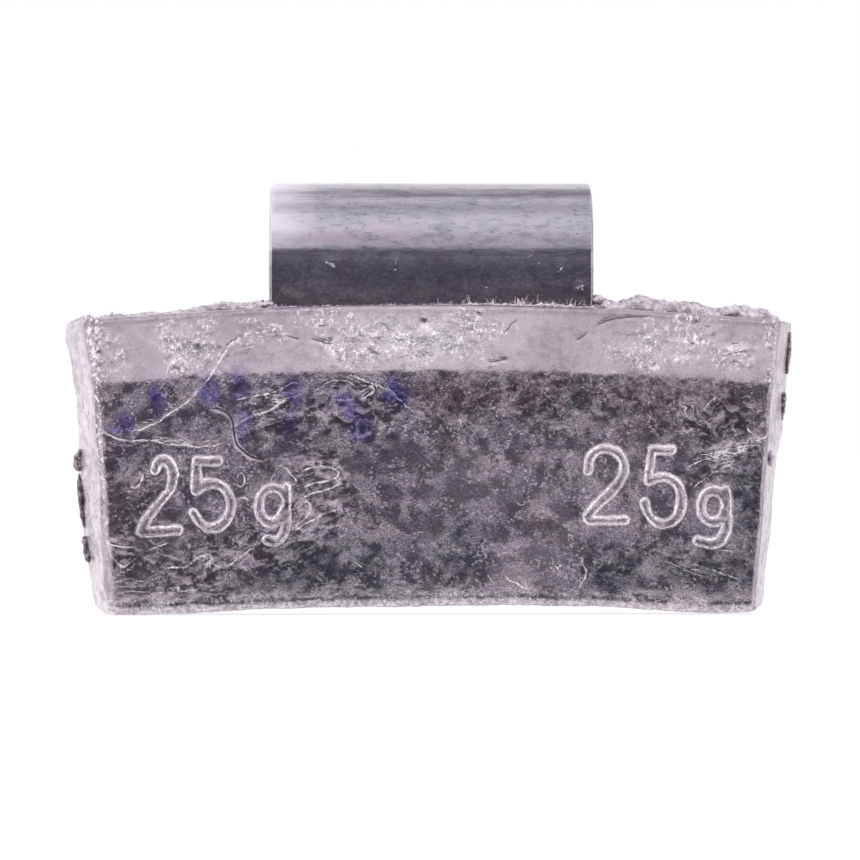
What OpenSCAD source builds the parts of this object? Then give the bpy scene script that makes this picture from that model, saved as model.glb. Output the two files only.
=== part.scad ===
// Clip-on balance weight for a car wheel: a lead casting with a spring-steel clip cast into it.
// The frame's origin is the centre of the clip's bend, where the lip of the rim flange sits.
// +X runs along the rim, +Y from the casting towards the flange's far side, and +Z away from
// the wheel's axis.

/* [Casting] */
// Length of the casting at its outer corners, along the chord
casting_length = 42; // [30:0.5:60]
// Radial height of the casting at its middle
casting_height = 17.3; // [15:0.1:24]
// Radius of the outer edge, about the wheel's axis
outer_edge_r = 226; // [160:1:300]
// Radius of the arc of the lower edge
lower_edge_r = 350; // [200:1:450]
// Thickness at the outer edge
outer_edge_t = 2.7; // [2.4:0.05:3.2]
// Thickness at the foot of the bevelled band, where the casting is thickest
bevel_foot_t = 3.35; // [3.2:0.05:4.2]
// Thickness at the lower edge
lower_edge_t = 2.85; // [2.3:0.05:3.2]
// Radial height of the bevelled band
bevel_height = 3.8; // [2.5:0.1:6]
// Radius of the rounding along the lower front edge
lower_round_r = 0.65; // [0.3:0.05:1.2]
// Draft of the two end faces, in degrees
end_draft = 19; // [5:0.5:25]

/* [Clip] */
// Width of the steel strip
clip_width = 18.8; // [14:0.1:24]
// Thickness of the steel strip
strip_t = 0.9; // [0.7:0.05:1.1]
// Inner radius of the bend over the flange's lip
bend_r = 3.2; // [2.6:0.05:4]
// Height of the clip above the casting's outer edge
clip_rise = 7.3; // [6.4:0.1:9]
// Depth of the tang inside the casting
tang_depth = 9.5; // [7:0.1:11]
// Lead between the tang and the back face
tang_cover = 0.5; // [0.3:0.05:0.7]
// Angle by which the rear leg leans in, in degrees
pinch_angle = 10; // [4:1:16]
// Straight length of the rear leg
rear_leg_length = 1.4; // [0.8:0.1:2.4]
// Inner radius of the bend that flares the tip
flare_r = 1; // [0.7:0.05:1.6]
// Angle by which the tip leans out, in degrees
flare_angle = 30; // [15:1:45]
// Straight length of the tip
tip_length = 0.7; // [0.5:0.05:1.4]

/* [Anchor holes] */
// Diameter of the holes in the tang that the lead flows through
anchor_hole_d = 3.2; // [2:0.1:4]
// Distance between the two holes' centres
anchor_hole_pitch = 9; // [6:0.1:10]
// Depth of the holes' centres below the casting's outer edge
anchor_hole_depth = 4.6; // [3.2:0.1:5]

/* [Flash] */
// Height of the ragged ridge of flash along the outer edge
flash_height = 0.6; // [0.2:0.05:1]
// Thickness of the ridge, which is centred on the strip
flash_t = 0.9; // [0.5:0.05:1.2]
// Pitch of the points of its ragged crest
flash_pitch = 0.6; // [0.4:0.05:1.2]
// Height to which a fringe of lead climbs the foot of the clip
fringe_height = 0.5; // [0.2:0.05:0.9]
// Thickness of that fringe
fringe_t = 0.25; // [0.15:0.05:0.6]
// Length by which the fringe laps past each side of the clip
fringe_lap = 0.4; // [0.2:0.05:1]

/* [Hidden] */

// Finish of the small rounds and of the large arcs
$fn = 96;
arc_fn = 1440;
// Overshoot of a cutting tool past the face that it cuts
over = 1;
// Depth by which the flash and the fringe are rooted in the casting
flash_root = 0.5;
// Flats along each of the small bends of the rear leg
bend_steps = 8;
// Angle by which the blank overhangs each end before it is cut
overhang_angle = 1;
// Radial depth by which the blank overhangs the lower edge before it is cut
overhang_depth = 3;

// Places that follow from the sizes above
bend_outer_r = bend_r + strip_t;
casting_top_z = bend_outer_r - clip_rise;
casting_low_z = casting_top_z - casting_height;
wheel_axis_z = casting_top_z - outer_edge_r;
back_y = tang_cover - bend_r;
end_angle = asin(casting_length / 2 / outer_edge_r);
bevel_foot_r = outer_edge_r - bevel_height;
blank_low_r = outer_edge_r - casting_height - overhang_depth;
// Taper of the front face below the bevel, and its depth at a radius from the wheel's axis
face_taper = (bevel_foot_t - lower_edge_t) / (casting_height - bevel_height);
function face_depth(r) = bevel_foot_t - face_taper * (bevel_foot_r - r);

// Height of the casting's outer edge at a place along it
function outer_edge_z(x) = wheel_axis_z + sqrt(outer_edge_r * outer_edge_r - x * x);

// Uneven heights of the flash and of the fringe along the edge, as a share of the full height
function ragged_flash(x) = 0.55 + 0.25 * sin(131 * x) + 0.2 * sin(227 * x + 40);
function ragged_fringe(x) = 0.6 + 0.25 * sin(97 * x + 25) + 0.15 * sin(173 * x);

// Cross-section of the casting as [radius, depth from the back face]: a flat back, a tapered
// face and a bevelled outer band
module casting_profile() {
    polygon([
        [blank_low_r, 0],
        [outer_edge_r, 0],
        [outer_edge_r, outer_edge_t],
        [bevel_foot_r, bevel_foot_t],
        [blank_low_r, face_depth(blank_low_r)]
    ]);
}

// Sector of a ring about the wheel's axis, a little longer than the casting
module casting_sector() {
    sector_angle = 2 * (end_angle + overhang_angle);
    translate([0, back_y, wheel_axis_z])
        rotate([90, 0, 0])
            rotate([0, 0, 90 - sector_angle / 2])
                rotate_extrude(angle = sector_angle, $fn = arc_fn)
                    casting_profile();
}

// Corner that the rounding of the lower front edge takes off, tangent to both of its faces
module lower_round_profile() {
    tilt = atan(face_taper);
    centre_r = lower_edge_r + lower_round_r;
    centre_d = lower_edge_t + face_taper * lower_round_r - lower_round_r / cos(tilt);
    reach = lower_round_r + over;
    difference() {
        polygon([
            [lower_edge_r - over, centre_d],
            [centre_r, centre_d],
            [centre_r - reach * sin(tilt), centre_d + reach * cos(tilt)],
            [lower_edge_r - over, centre_d + reach]
        ]);
        translate([centre_r, centre_d])
            circle(r = lower_round_r);
    }
}

// Tool that shapes the lower edge: a flat arc, rounded at the front
module lower_edge_cut() {
    translate([0, back_y, casting_low_z - lower_edge_r])
        rotate([90, 0, 0]) {
            translate([0, 0, -over])
                cylinder(r = lower_edge_r, h = bevel_foot_t + 2 * over, $fn = arc_fn);
            rotate_extrude($fn = arc_fn)
                lower_round_profile();
        }
}

// Tool that cuts one end along a radial plane, which leans in towards the front by the draft
module end_cut() {
    translate([0, back_y, wheel_axis_z])
        rotate([0, end_angle, 0])
            rotate([0, 0, -end_draft])
                translate([0, -casting_length / 2, blank_low_r - over])
                    cube([casting_length / 2, casting_length, outer_edge_r - blank_low_r + 2 * over]);
}

// Upright ragged sheet of lead that stands on the outer edge from x0 to x1; the heights come
// from a list with one share of the full height for each point of the crest
module ragged_sheet(x0, x1, full_height, shares) {
    steps = len(shares) - 1;
    xs = [for (i = [0:steps]) x0 + (x1 - x0) * i / steps];
    crest = [for (i = [0:steps]) [xs[i], outer_edge_z(xs[i]) + full_height * shares[i]]];
    root = [for (i = [steps:-1:0]) [xs[i], outer_edge_z(xs[i]) - flash_root]];
    polygon(concat(crest, root));
}

// Ridge of flash beside the clip, where the mould's halves let a little lead out
module flash_ridge() {
    start_x = clip_width / 2 - flash_root;
    end_x = casting_length / 2 - bevel_foot_t * tan(end_draft) - flash_pitch;
    steps = ceil((end_x - start_x) / flash_pitch);
    pitch = (end_x - start_x) / steps;
    translate([0, -bend_r - strip_t / 2 + flash_t / 2, 0])
        rotate([90, 0, 0])
            linear_extrude(height = flash_t)
                ragged_sheet(
                    start_x, end_x, flash_height,
                    [for (i = [0:steps]) ragged_flash(start_x + i * pitch)]
                );
}

// Fringe of lead that climbed the front of the strip and lapped past its sides as it cooled
module clip_fringe() {
    half = clip_width / 2 + fringe_lap;
    steps = 2 * ceil(half / flash_pitch);
    translate([0, -bend_outer_r, 0])
        rotate([90, 0, 0])
            linear_extrude(height = fringe_t)
                ragged_sheet(
                    -half, half, fringe_height,
                    [for (i = [0:steps]) ragged_fringe(abs(-half + 2 * half * i / steps))]
                );
}

// Direction at an angle, seen from the +X end with +Y to the right
function ray(angle) = [cos(angle), sin(angle)];

// Round hole in the tang, through which the lead on its two sides is joined
module anchor_hole(side) {
    translate([side * anchor_hole_pitch / 2, over - bend_r, casting_top_z - anchor_hole_depth])
        rotate([90, 0, 0])
            cylinder(d = anchor_hole_d, h = strip_t + 2 * over);
}

// Front leg: the bare run below the bend and the tang inside the casting, with its two holes
module front_leg() {
    leg_length = tang_depth - casting_top_z;
    difference() {
        translate([-clip_width / 2, -bend_outer_r, -leg_length])
            cube([clip_width, strip_t, leg_length]);
        anchor_hole(-1);
        anchor_hole(1);
    }
}

// Half turn of the strip over the lip of the flange
module lip_bend() {
    rotate([90, 0, 90])
        rotate_extrude(angle = 180)
            translate([bend_r, -clip_width / 2])
                square([strip_t, clip_width]);
}

// Rear leg: the bend goes on until the strip leans in to pinch the flange, then the strip runs
// straight, and then it flares out so that the lip can slide in
module rear_leg() {
    lean = ray(-pinch_angle);
    leg_end = -rear_leg_length * [sin(pinch_angle), cos(pinch_angle)];
    tip_end = tip_length * [sin(flare_angle), -cos(flare_angle)];
    flare_centre = leg_end + (bend_outer_r + flare_r) * lean;
    bend_rays = [for (i = [0:bend_steps]) ray(-pinch_angle * i / bend_steps)];
    turn = pinch_angle + flare_angle;
    flare_rays = [for (i = [0:bend_steps]) ray(180 - pinch_angle + turn * i / bend_steps)];
    flange_side = concat(
        [for (v = bend_rays) bend_r * v],
        [for (v = flare_rays) flare_centre + (flare_r + strip_t) * v],
        [flare_centre + (flare_r + strip_t) * flare_rays[bend_steps] + tip_end]
    );
    outer_side = concat(
        [flare_centre + flare_r * flare_rays[bend_steps] + tip_end],
        [for (i = [bend_steps:-1:0]) flare_centre + flare_r * flare_rays[i]],
        [for (i = [bend_steps:-1:0]) bend_outer_r * bend_rays[i]]
    );
    rotate([90, 0, 90])
        linear_extrude(height = clip_width, center = true)
            polygon(concat(flange_side, outer_side));
}

module spring_clip() {
    color("silver") {
        front_leg();
        lip_bend();
        rear_leg();
    }
}

module lead_casting() {
    color("dimgray")
        difference() {
            union() {
                difference() {
                    casting_sector();
                    lower_edge_cut();
                    end_cut();
                    mirror([1, 0, 0]) end_cut();
                }
                flash_ridge();
                mirror([1, 0, 0]) flash_ridge();
                clip_fringe();
            }
            front_leg();
        }
}

lead_casting();
spring_clip();
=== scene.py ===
import math

import bpy
import numpy as np
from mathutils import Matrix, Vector


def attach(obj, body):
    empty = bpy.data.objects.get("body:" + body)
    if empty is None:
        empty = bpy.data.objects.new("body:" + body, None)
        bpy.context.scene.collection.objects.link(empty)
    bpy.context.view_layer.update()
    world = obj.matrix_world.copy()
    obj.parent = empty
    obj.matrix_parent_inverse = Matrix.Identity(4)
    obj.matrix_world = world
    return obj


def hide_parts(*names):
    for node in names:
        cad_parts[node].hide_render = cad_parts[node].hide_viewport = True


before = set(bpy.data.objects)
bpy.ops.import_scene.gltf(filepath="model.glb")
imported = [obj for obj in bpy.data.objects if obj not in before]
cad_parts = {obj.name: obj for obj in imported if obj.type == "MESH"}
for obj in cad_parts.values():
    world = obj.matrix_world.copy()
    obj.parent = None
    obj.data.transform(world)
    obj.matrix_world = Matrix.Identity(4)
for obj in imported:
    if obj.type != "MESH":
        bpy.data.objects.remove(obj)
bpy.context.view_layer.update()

# All sizes below are millimetres in the frame of the CAD model, unless a comment says otherwise.
MM = 0.001

# Camera, at the photograph's viewing angle: a little to the left, level, at mid-height
CAMERA_AT = np.array([-8.0, -251.0, -10.9])
CAMERA_AIM = np.array([-0.16, -6.0, -10.42])
PICTURE_PIXELS = 860
PIXEL_AT_AIM = 0.0574      # one pixel of the picture, at the distance of the aim

# Casting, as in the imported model
CASTING_TOP_Z = -3.2
CASTING_HEIGHT = 17.3
OUTER_EDGE_R = 226.0
LOWER_EDGE_R = 350.0
OUTER_EDGE_T = 2.7
BEVEL_FOOT_T = 3.35
LOWER_EDGE_T = 2.85
BEVEL_HEIGHT = 3.8
END_ANGLE = math.asin(21.0 / OUTER_EDGE_R)
END_DRAFT = math.radians(19.0)
BACK_Y = -2.7
CASTING_LOW_Z = CASTING_TOP_Z - CASTING_HEIGHT
WHEEL_AXIS_Z = CASTING_TOP_Z - OUTER_EDGE_R
LOWER_CENTRE_Z = CASTING_LOW_Z - LOWER_EDGE_R
HALF_LENGTH = OUTER_EDGE_R * math.sin(END_ANGLE)
HALF_FACE = HALF_LENGTH - 1.2
FACE_Y = BACK_Y - 3.1      # mean depth of the front face, on which photograph pixels are placed

# Clip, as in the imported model
CLIP_WIDTH = 18.8
STRIP_T = 0.9
BEND_R = 3.2
TANG_LOW_Z = -12.7
PINCH = math.radians(10.0)
REAR_LEG = 1.4
FLARE_R = 1.0
FLARE = math.radians(30.0)
TIP = 0.7
CLIP_FRONT_Y = -BEND_R - STRIP_T

FLOOR_Z = -21.06

# Photograph pixels that stand for the middle of the face and for the foot of the clip
MIDDLE_COLUMN = 430
MIDDLE_ROW = 490
FOOT_ROW = 303


# Small tools

def camera_axes():
    """Forward, right and up directions of the camera."""
    forward = (CAMERA_AIM - CAMERA_AT) / np.linalg.norm(CAMERA_AIM - CAMERA_AT)
    right = np.cross(forward, [0, 0, 1])
    right /= np.linalg.norm(right)
    return forward, right, np.cross(right, forward)


def on_plane(pixels, y=FACE_Y):
    """(x, z) on the plane at depth y that the camera sees at each (across, down) pixel."""
    forward, right, up = camera_axes()
    reach = np.linalg.norm(CAMERA_AIM - CAMERA_AT)
    p = (np.atleast_2d(np.asarray(pixels, float)) - PICTURE_PIXELS / 2) * PIXEL_AT_AIM / reach
    rays = forward + p[:, :1] * right - p[:, 1:2] * up
    hits = CAMERA_AT + rays * ((y - CAMERA_AT[1]) / rays[:, 1:2])
    return hits[:, [0, 2]]


def on_face(x, z):
    """Points in the plane of the face, for a noise that depends on x and z alone."""
    return np.stack([x, 0 * x, z], -1)


def turned(x, z, tilt):
    """x and z in axes that are turned by a tilt in degrees."""
    c, s = math.cos(math.radians(tilt)), math.sin(math.radians(tilt))
    return x * c + z * s, -x * s + z * c


def lengths_along(points):
    """Length along a line of points, at each of them."""
    return np.concatenate([[0], np.cumsum(np.linalg.norm(np.diff(points, axis=0), axis=1))])


def spaced(places, step):
    """Places that lie about one step apart, where the step changes along the given places."""
    count = np.concatenate([[0], np.cumsum(np.diff(places) / step[:-1])])
    wanted = np.linspace(0, count[-1], int(count[-1]) + 1)
    return np.interp(wanted, count, places)


def smooth(a, b, v):
    """0 below a, 1 above b and a soft rise between them."""
    t = np.clip((v - a) / (b - a), 0, 1)
    return t * t * (3 - 2 * t)


TABLES = {}


def noise(p, cell, seed):
    """Smooth lattice noise in -1..1 at points p, with one lattice cell of the given size."""
    if seed not in TABLES:
        TABLES[seed] = np.random.default_rng(seed).uniform(-1, 1, (64, 64, 64))
    table = TABLES[seed]
    q = np.asarray(p, float) / cell + 0.37 * seed
    base = np.floor(q).astype(int)
    f = q - base
    f = f * f * (3 - 2 * f)
    i0 = base % 64
    i1 = (base + 1) % 64
    x0, y0, z0 = i0[..., 0], i0[..., 1], i0[..., 2]
    x1, y1, z1 = i1[..., 0], i1[..., 1], i1[..., 2]
    fx, fy, fz = f[..., 0], f[..., 1], f[..., 2]
    low = (table[x0, y0, z0] * (1 - fx) + table[x1, y0, z0] * fx) * (1 - fy)
    low += (table[x0, y1, z0] * (1 - fx) + table[x1, y1, z0] * fx) * fy
    high = (table[x0, y0, z1] * (1 - fx) + table[x1, y0, z1] * fx) * (1 - fy)
    high += (table[x0, y1, z1] * (1 - fx) + table[x1, y1, z1] * fx) * fy
    return low * (1 - fz) + high * fz


def layered(p, cell, seed, layers=3):
    """Sum of noise layers, each at half the cell and half the strength of the last."""
    total = 0
    for k in range(layers):
        total = total + noise(p, cell / 2 ** k, seed + k) / 2 ** k
    return total


def creased(p, cell, seed, layers=3):
    """Sharp-crested noise in 0..1, as of wrinkled metal."""
    total = 0
    for k in range(layers):
        total = total + (1 - np.abs(noise(p, cell / 2 ** k, seed + k))) ** 3 / 2 ** k
    return total / 2


def line_distance(x, z, line):
    """Distance from points to a line of (x, z) points, the share of the line's length there, and
    the side of the line: 1 on its left and -1 on its right."""
    line = np.asarray(line, float)
    starts = lengths_along(line)
    lengths = np.diff(starts)
    best = np.full(x.shape, 1e9)
    share = np.zeros(x.shape)
    side = np.ones(x.shape)
    for k, (a, b) in enumerate(zip(line[:-1], line[1:])):
        d = b - a
        t = np.clip(((x - a[0]) * d[0] + (z - a[1]) * d[1]) / max(d @ d, 1e-12), 0, 1)
        gap = np.hypot(x - a[0] - t * d[0], z - a[1] - t * d[1])
        nearer = gap < best
        best = np.where(nearer, gap, best)
        share = np.where(nearer, (starts[k] + t * lengths[k]) / starts[-1], share)
        side = np.where(nearer, np.sign(d[0] * (z - a[1]) - d[1] * (x - a[0])), side)
    return best, share, side


def rounded(points, steps=4):
    """A line through the points with its corners rounded (corner cutting)."""
    line = np.asarray(points, float)
    for _ in range(steps):
        a, b = line[:-1], line[1:]
        cut = np.empty((2 * len(a), 2))
        cut[0::2] = 0.75 * a + 0.25 * b
        cut[1::2] = 0.25 * a + 0.75 * b
        line = np.vstack([line[:1], cut, line[-1:]])
    return line


def grid_normals(grid, ring):
    """Outward unit normals of a grid of points that is closed along its second axis. The ring
    tells which way is outward."""
    along = np.gradient(grid, axis=0)
    around = np.roll(grid, -1, axis=1) - np.roll(grid, 1, axis=1)
    n = np.cross(along, around)
    n /= np.maximum(np.linalg.norm(n, axis=2, keepdims=True), 1e-12)
    outward = np.sum(n[ring] * (grid[ring] - grid[ring].mean(axis=0)))
    return n if outward > 0 else -n


def end_triangles(ring):
    """Triangles that close a ring of points, each across the shorter way, so that they keep to a
    long and bent ring. Their corners are places in the ring, in rising order."""
    i, j = 0, len(ring) - 1
    triangles = []
    while j - i > 1:
        if j - i == 2 or np.linalg.norm(ring[i + 1] - ring[j]) < np.linalg.norm(ring[i] - ring[j - 1]):
            triangles.append((i, i + 1, j))
            i += 1
        else:
            triangles.append((i, j - 1, j))
            j -= 1
    return triangles


def tube_mesh(name, grids, smooth_ends=False, **layers):
    """Closed mesh from grids of points (rings along the first axis), with a face over each end.
    Each named layer gives three shares from 0 to 1 at each point, which its material reads."""
    verts = np.vstack([grid.reshape(-1, 3) for grid in grids]) * MM
    faces = []
    smooth_shaded = []
    start = 0
    for grid in grids:
        rings, count = grid.shape[:2]
        i, j = np.meshgrid(np.arange(rings - 1), np.arange(count), indexing="ij")
        k = (j + 1) % count
        quads = np.stack([i * count + j, (i + 1) * count + j, (i + 1) * count + k, i * count + k], -1)
        faces += [tuple(q) for q in (start + quads).reshape(-1, 4).tolist()]
        last = start + (rings - 1) * count
        faces += [(start + a, start + b, start + c) for a, b, c in end_triangles(grid[0])]
        faces += [(last + c, last + b, last + a) for a, b, c in end_triangles(grid[-1])]
        smooth_shaded += [True] * ((rings - 1) * count) + [smooth_ends] * (2 * (count - 2))
        start += rings * count
    mesh = bpy.data.meshes.new(name)
    mesh.from_pydata(verts.tolist(), [], faces)
    mesh.polygons.foreach_set("use_smooth", smooth_shaded)
    for key, shares in layers.items():
        layer = mesh.attributes.new(key, "FLOAT_COLOR", "POINT")
        rgba = np.ones((len(verts), 4), np.float32)
        rgba[:, :3] = np.clip(shares.reshape(-1, 3), 0, 1)
        layer.data.foreach_set("color", rgba.ravel())
    mesh.validate()
    mesh.update()
    piece = bpy.data.objects.new(name, mesh)
    bpy.context.scene.collection.objects.link(piece)
    return piece


# Marks on the casting's face, by photograph pixel (across, down)

FIGURE_WIDTH = 0.43        # of a raised stroke, at half its height
FIGURE_HEIGHT = 0.20
FIGURE_SLOPE = 0.14        # width of a stroke's sloping side

LEFT_TWO = [
    (155, 470), (157, 462), (164, 459), (171, 464), (174, 476), (171, 489),
    (160, 503), (148, 517), (142, 529), (141, 533), (178, 530),
]
LEFT_FIVE_STEM = [(218, 461), (197, 461), (196, 491)]
LEFT_FIVE_BOWL = [
    (196, 491), (205, 484), (217, 483), (228, 491), (232, 504), (229, 517), (220, 527),
    (208, 529), (199, 522), (194, 513),
]
LEFT_G_BOWL = [
    (285, 497), (282, 490), (272, 487), (262, 492), (258, 505), (262, 519), (271, 524),
    (281, 519), (285, 508),
]
LEFT_G_TAIL = [(286, 487), (286, 506), (287, 523), (284, 535), (277, 542), (267, 540)]
RIGHT_TWO = [
    (588, 471), (589, 458), (597, 450), (608, 448), (620, 454), (625, 466), (622, 479),
    (611, 492), (598, 504), (589, 514), (587, 521), (625, 520),
]
RIGHT_FIVE_STEM = [(671, 450), (652, 450), (648, 481)]
RIGHT_FIVE_BOWL = [
    (649, 481), (657, 477), (668, 477), (678, 484), (682, 497), (680, 511), (674, 521),
    (664, 525), (653, 521), (647, 512), (644, 503),
]
RIGHT_G_BOWL = [
    (726, 502), (722, 493), (713, 490), (704, 494), (700, 506), (703, 518), (712, 523),
    (722, 519), (726, 508),
]
RIGHT_G_TAIL = [(726, 490), (727, 507), (727, 523), (725, 534), (719, 542), (710, 545), (698, 541)]
FIGURES = [
    LEFT_TWO, LEFT_FIVE_STEM, LEFT_FIVE_BOWL, LEFT_G_BOWL, LEFT_G_TAIL,
    RIGHT_TWO, RIGHT_FIVE_STEM, RIGHT_FIVE_BOWL, RIGHT_G_BOWL, RIGHT_G_TAIL,
]
SQUARE_STROKES = [LEFT_FIVE_STEM, RIGHT_FIVE_STEM]

# Creases, folds and scratches: (height, half-width, points); a height below 0 is a groove
CREASES = [
    (0.11, 0.13, [(232, 341), (226, 350), (221, 358), (202, 387), (180, 408), (148, 428), (126, 432)]),
    (0.10, 0.16, [(226, 350), (221, 359)]),
    (0.08, 0.14, [(236, 350), (254, 345)]),
    (-0.08, 0.07, [(225, 345), (238, 337)]),
    (0.09, 0.16, [(161, 327), (162, 338), (165, 350)]),
    (0.09, 0.13, [(90, 421), (104, 434), (124, 441), (148, 439), (171, 445), (202, 447), (230, 443)]),
    (0.06, 0.11, [(150, 437), (176, 438), (196, 447)]),
    (-0.12, 0.10, [(206, 407), (232, 412), (234, 443), (250, 456), (263, 460)]),
    (0.11, 0.14, [(130, 484), (134, 489), (140, 486), (143, 473)]),
    (0.07, 0.11, [(236, 478), (240, 472), (245, 476), (243, 485), (237, 485), (236, 478)]),
    (0.12, 0.14, [(98, 517), (103, 515), (108, 519), (106, 525), (100, 525)]),
    (0.12, 0.15, [(95, 525), (103, 536), (111, 545), (124, 548), (137, 547)]),
    (0.12, 0.15, [(104, 536), (109, 549), (113, 560), (118, 565), (124, 566), (131, 562), (137, 556),
                  (146, 551), (154, 547), (172, 543)]),
    (0.12, 0.15, [(161, 569), (177, 568), (191, 565), (200, 554), (209, 560), (223, 571), (240, 556),
                  (258, 545)]),
    (0.11, 0.14, [(192, 560), (210, 552), (214, 562), (200, 566)]),
    (0.10, 0.13, [(165, 591), (170, 588), (176, 586), (180, 588), (173, 593), (166, 593)]),
    (0.05, 0.12, [(110, 585), (128, 578), (150, 582), (162, 574)]),
    (0.05, 0.12, [(112, 596), (133, 590), (158, 594), (190, 590), (230, 588)]),
    (0.10, 0.13, [(268, 486), (275, 472), (280, 464), (285, 468), (292, 476), (298, 486)]),
    (0.11, 0.14, [(296, 474), (312, 468), (330, 466), (342, 472), (330, 480), (312, 484), (299, 490)]),
    (0.11, 0.14, [(300, 500), (316, 492), (330, 490), (342, 480)]),
    (0.11, 0.14, [(296, 512), (306, 500), (312, 510), (303, 520), (295, 526)]),
    (0.12, 0.15, [(292, 533), (306, 524), (322, 516), (338, 508)]),
    (0.09, 0.13, [(250, 502), (243, 496), (236, 500), (226, 514)]),
    (0.09, 0.12, [(232, 400), (258, 396), (279, 390), (294, 381), (302, 386)]),
    (0.09, 0.12, [(226, 430), (248, 418), (268, 412), (290, 398)]),
    (0.05, 0.10, [(238, 438), (262, 426), (280, 420), (300, 418)]),
    (0.07, 0.11, [(270, 399), (282, 400), (296, 396)]),
    (0.07, 0.11, [(345, 372), (360, 378), (376, 384), (392, 392), (402, 402), (415, 415)]),
    (0.07, 0.11, [(357, 398), (362, 390), (370, 386), (375, 388), (370, 394), (360, 399), (357, 398)]),
    (0.06, 0.11, [(310, 392), (322, 386), (330, 380), (346, 380), (358, 388)]),
    (0.06, 0.11, [(333, 398), (343, 402), (356, 398)]),
    (0.05, 0.10, [(455, 415), (462, 424), (463, 433)]),
    (0.12, 0.15, [(505, 575), (508, 580), (520, 586), (530, 589), (532, 583)]),
    (0.07, 0.12, [(487, 574), (492, 582), (497, 586)]),
    (0.10, 0.14, [(356, 563), (361, 566)]),
    (0.10, 0.16, [(555, 563), (558, 569), (562, 564)]),
    (0.07, 0.11, [(583, 555), (582, 563), (586, 571), (584, 580), (579, 590)]),
    (0.11, 0.13, [(684, 472), (692, 465), (701, 459), (716, 456), (735, 452), (750, 449)]),
    (0.06, 0.10, [(712, 461), (722, 461), (734, 457)]),
    (0.06, 0.10, [(692, 490), (704, 478), (721, 468), (736, 462)]),
    (0.12, 0.13, [(702, 412), (710, 403), (718, 398)]),
    (0.10, 0.12, [(686, 404), (692, 406), (694, 414), (688, 420), (684, 410), (689, 402)]),
    (0.10, 0.13, [(697, 454), (720, 452), (735, 447), (752, 444), (762, 446)]),
    (0.11, 0.13, [(745, 424), (750, 432), (758, 437), (764, 440), (768, 432), (765, 424)]),
    (0.08, 0.12, [(755, 440), (760, 448), (764, 460), (767, 468)]),
    (0.05, 0.10, [(640, 395), (648, 392), (655, 393)]),
    (0.05, 0.10, [(735, 552), (700, 548), (680, 560)]),
    (0.05, 0.10, [(690, 562), (716, 570), (744, 582)]),
    (0.05, 0.10, [(664, 560), (690, 572), (712, 578)]),
    (-0.09, 0.06, [(575, 341), (588, 334)]),
    (-0.08, 0.06, [(286, 334), (300, 339)]),
    (-0.09, 0.06, [(310, 339), (320, 342), (332, 343)]),
    (-0.08, 0.06, [(316, 326), (328, 325)]),
    (-0.14, 0.07, [(485, 361), (498, 361), (509, 359)]),
    (0.08, 0.10, [(490, 364), (500, 364)]),
    (-0.09, 0.06, [(596, 327), (605, 322), (616, 319), (633, 316), (653, 315)]),
    (-0.05, 0.06, [(505, 333), (511, 325), (518, 320)]),
    (0.06, 0.12, [(725, 350), (734, 342), (742, 350), (750, 346)]),
    (0.05, 0.11, [(728, 356), (738, 352), (748, 356)]),
]

# Pits: (across, down, radius in mm, depth)
PITS = [
    (424, 323, 0.17, 0.16), (479, 315, 0.12, 0.12), (418, 341, 0.08, 0.08), (450, 330, 0.07, 0.07),
    (343, 331, 0.08, 0.08), (371, 350, 0.07, 0.07), (98, 354, 0.12, 0.10), (660, 352, 0.08, 0.08),
    (780, 346, 0.12, 0.12), (210, 497, 0.07, 0.08), (566, 524, 0.12, 0.10), (118, 320, 0.10, 0.08),
    (692, 345, 0.10, 0.09), (700, 366, 0.08, 0.07), (640, 470, 0.08, 0.06), (530, 500, 0.08, 0.06),
]

# Crumpled patches: (across, down, half-width and half-height in pixels, tilt in degrees,
# height of the crests, stretch along the tilt)
PATCHES = [
    (350, 408, 62, 36, 28, 0.060, 3.0),
    (290, 420, 55, 28, 25, 0.055, 3.2),
    (318, 498, 34, 46, 20, 0.100, 1.8),
    (262, 550, 60, 26, 18, 0.070, 2.6),
    (205, 566, 40, 18, 8, 0.085, 1.8),
    (130, 548, 50, 34, -35, 0.050, 2.0),
    (140, 470, 60, 26, 10, 0.035, 1.6),
    (175, 590, 90, 14, 2, 0.050, 3.2),
    (360, 592, 90, 10, 0, 0.040, 4.0),
    (560, 594, 120, 10, 0, 0.035, 4.0),
    (702, 418, 34, 34, -50, 0.070, 1.6),
    (745, 432, 32, 24, 20, 0.070, 2.0),
    (720, 468, 46, 22, 18, 0.045, 3.0),
    (700, 562, 60, 26, -14, 0.035, 2.6),
    (400, 340, 80, 30, 80, 0.060, 2.6),
    (460, 336, 60, 28, 85, 0.055, 3.0),
    (350, 348, 34, 22, -60, 0.065, 1.8),
    (195, 352, 30, 26, 35, 0.085, 1.2),
    (165, 336, 16, 18, 80, 0.080, 1.4),
    (330, 316, 40, 12, 0, 0.050, 1.4),
    (655, 350, 52, 22, 0, 0.055, 1.0),
    (735, 350, 26, 16, 30, 0.080, 1.8),
    (700, 330, 34, 14, 20, 0.050, 1.4),
    (560, 400, 140, 26, 0, 0.045, 1.2),
    (110, 360, 20, 26, 40, 0.040, 1.4),
    (262, 332, 34, 16, 10, 0.045, 1.4),
    (520, 560, 60, 30, 0, 0.020, 1.4),
]

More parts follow.
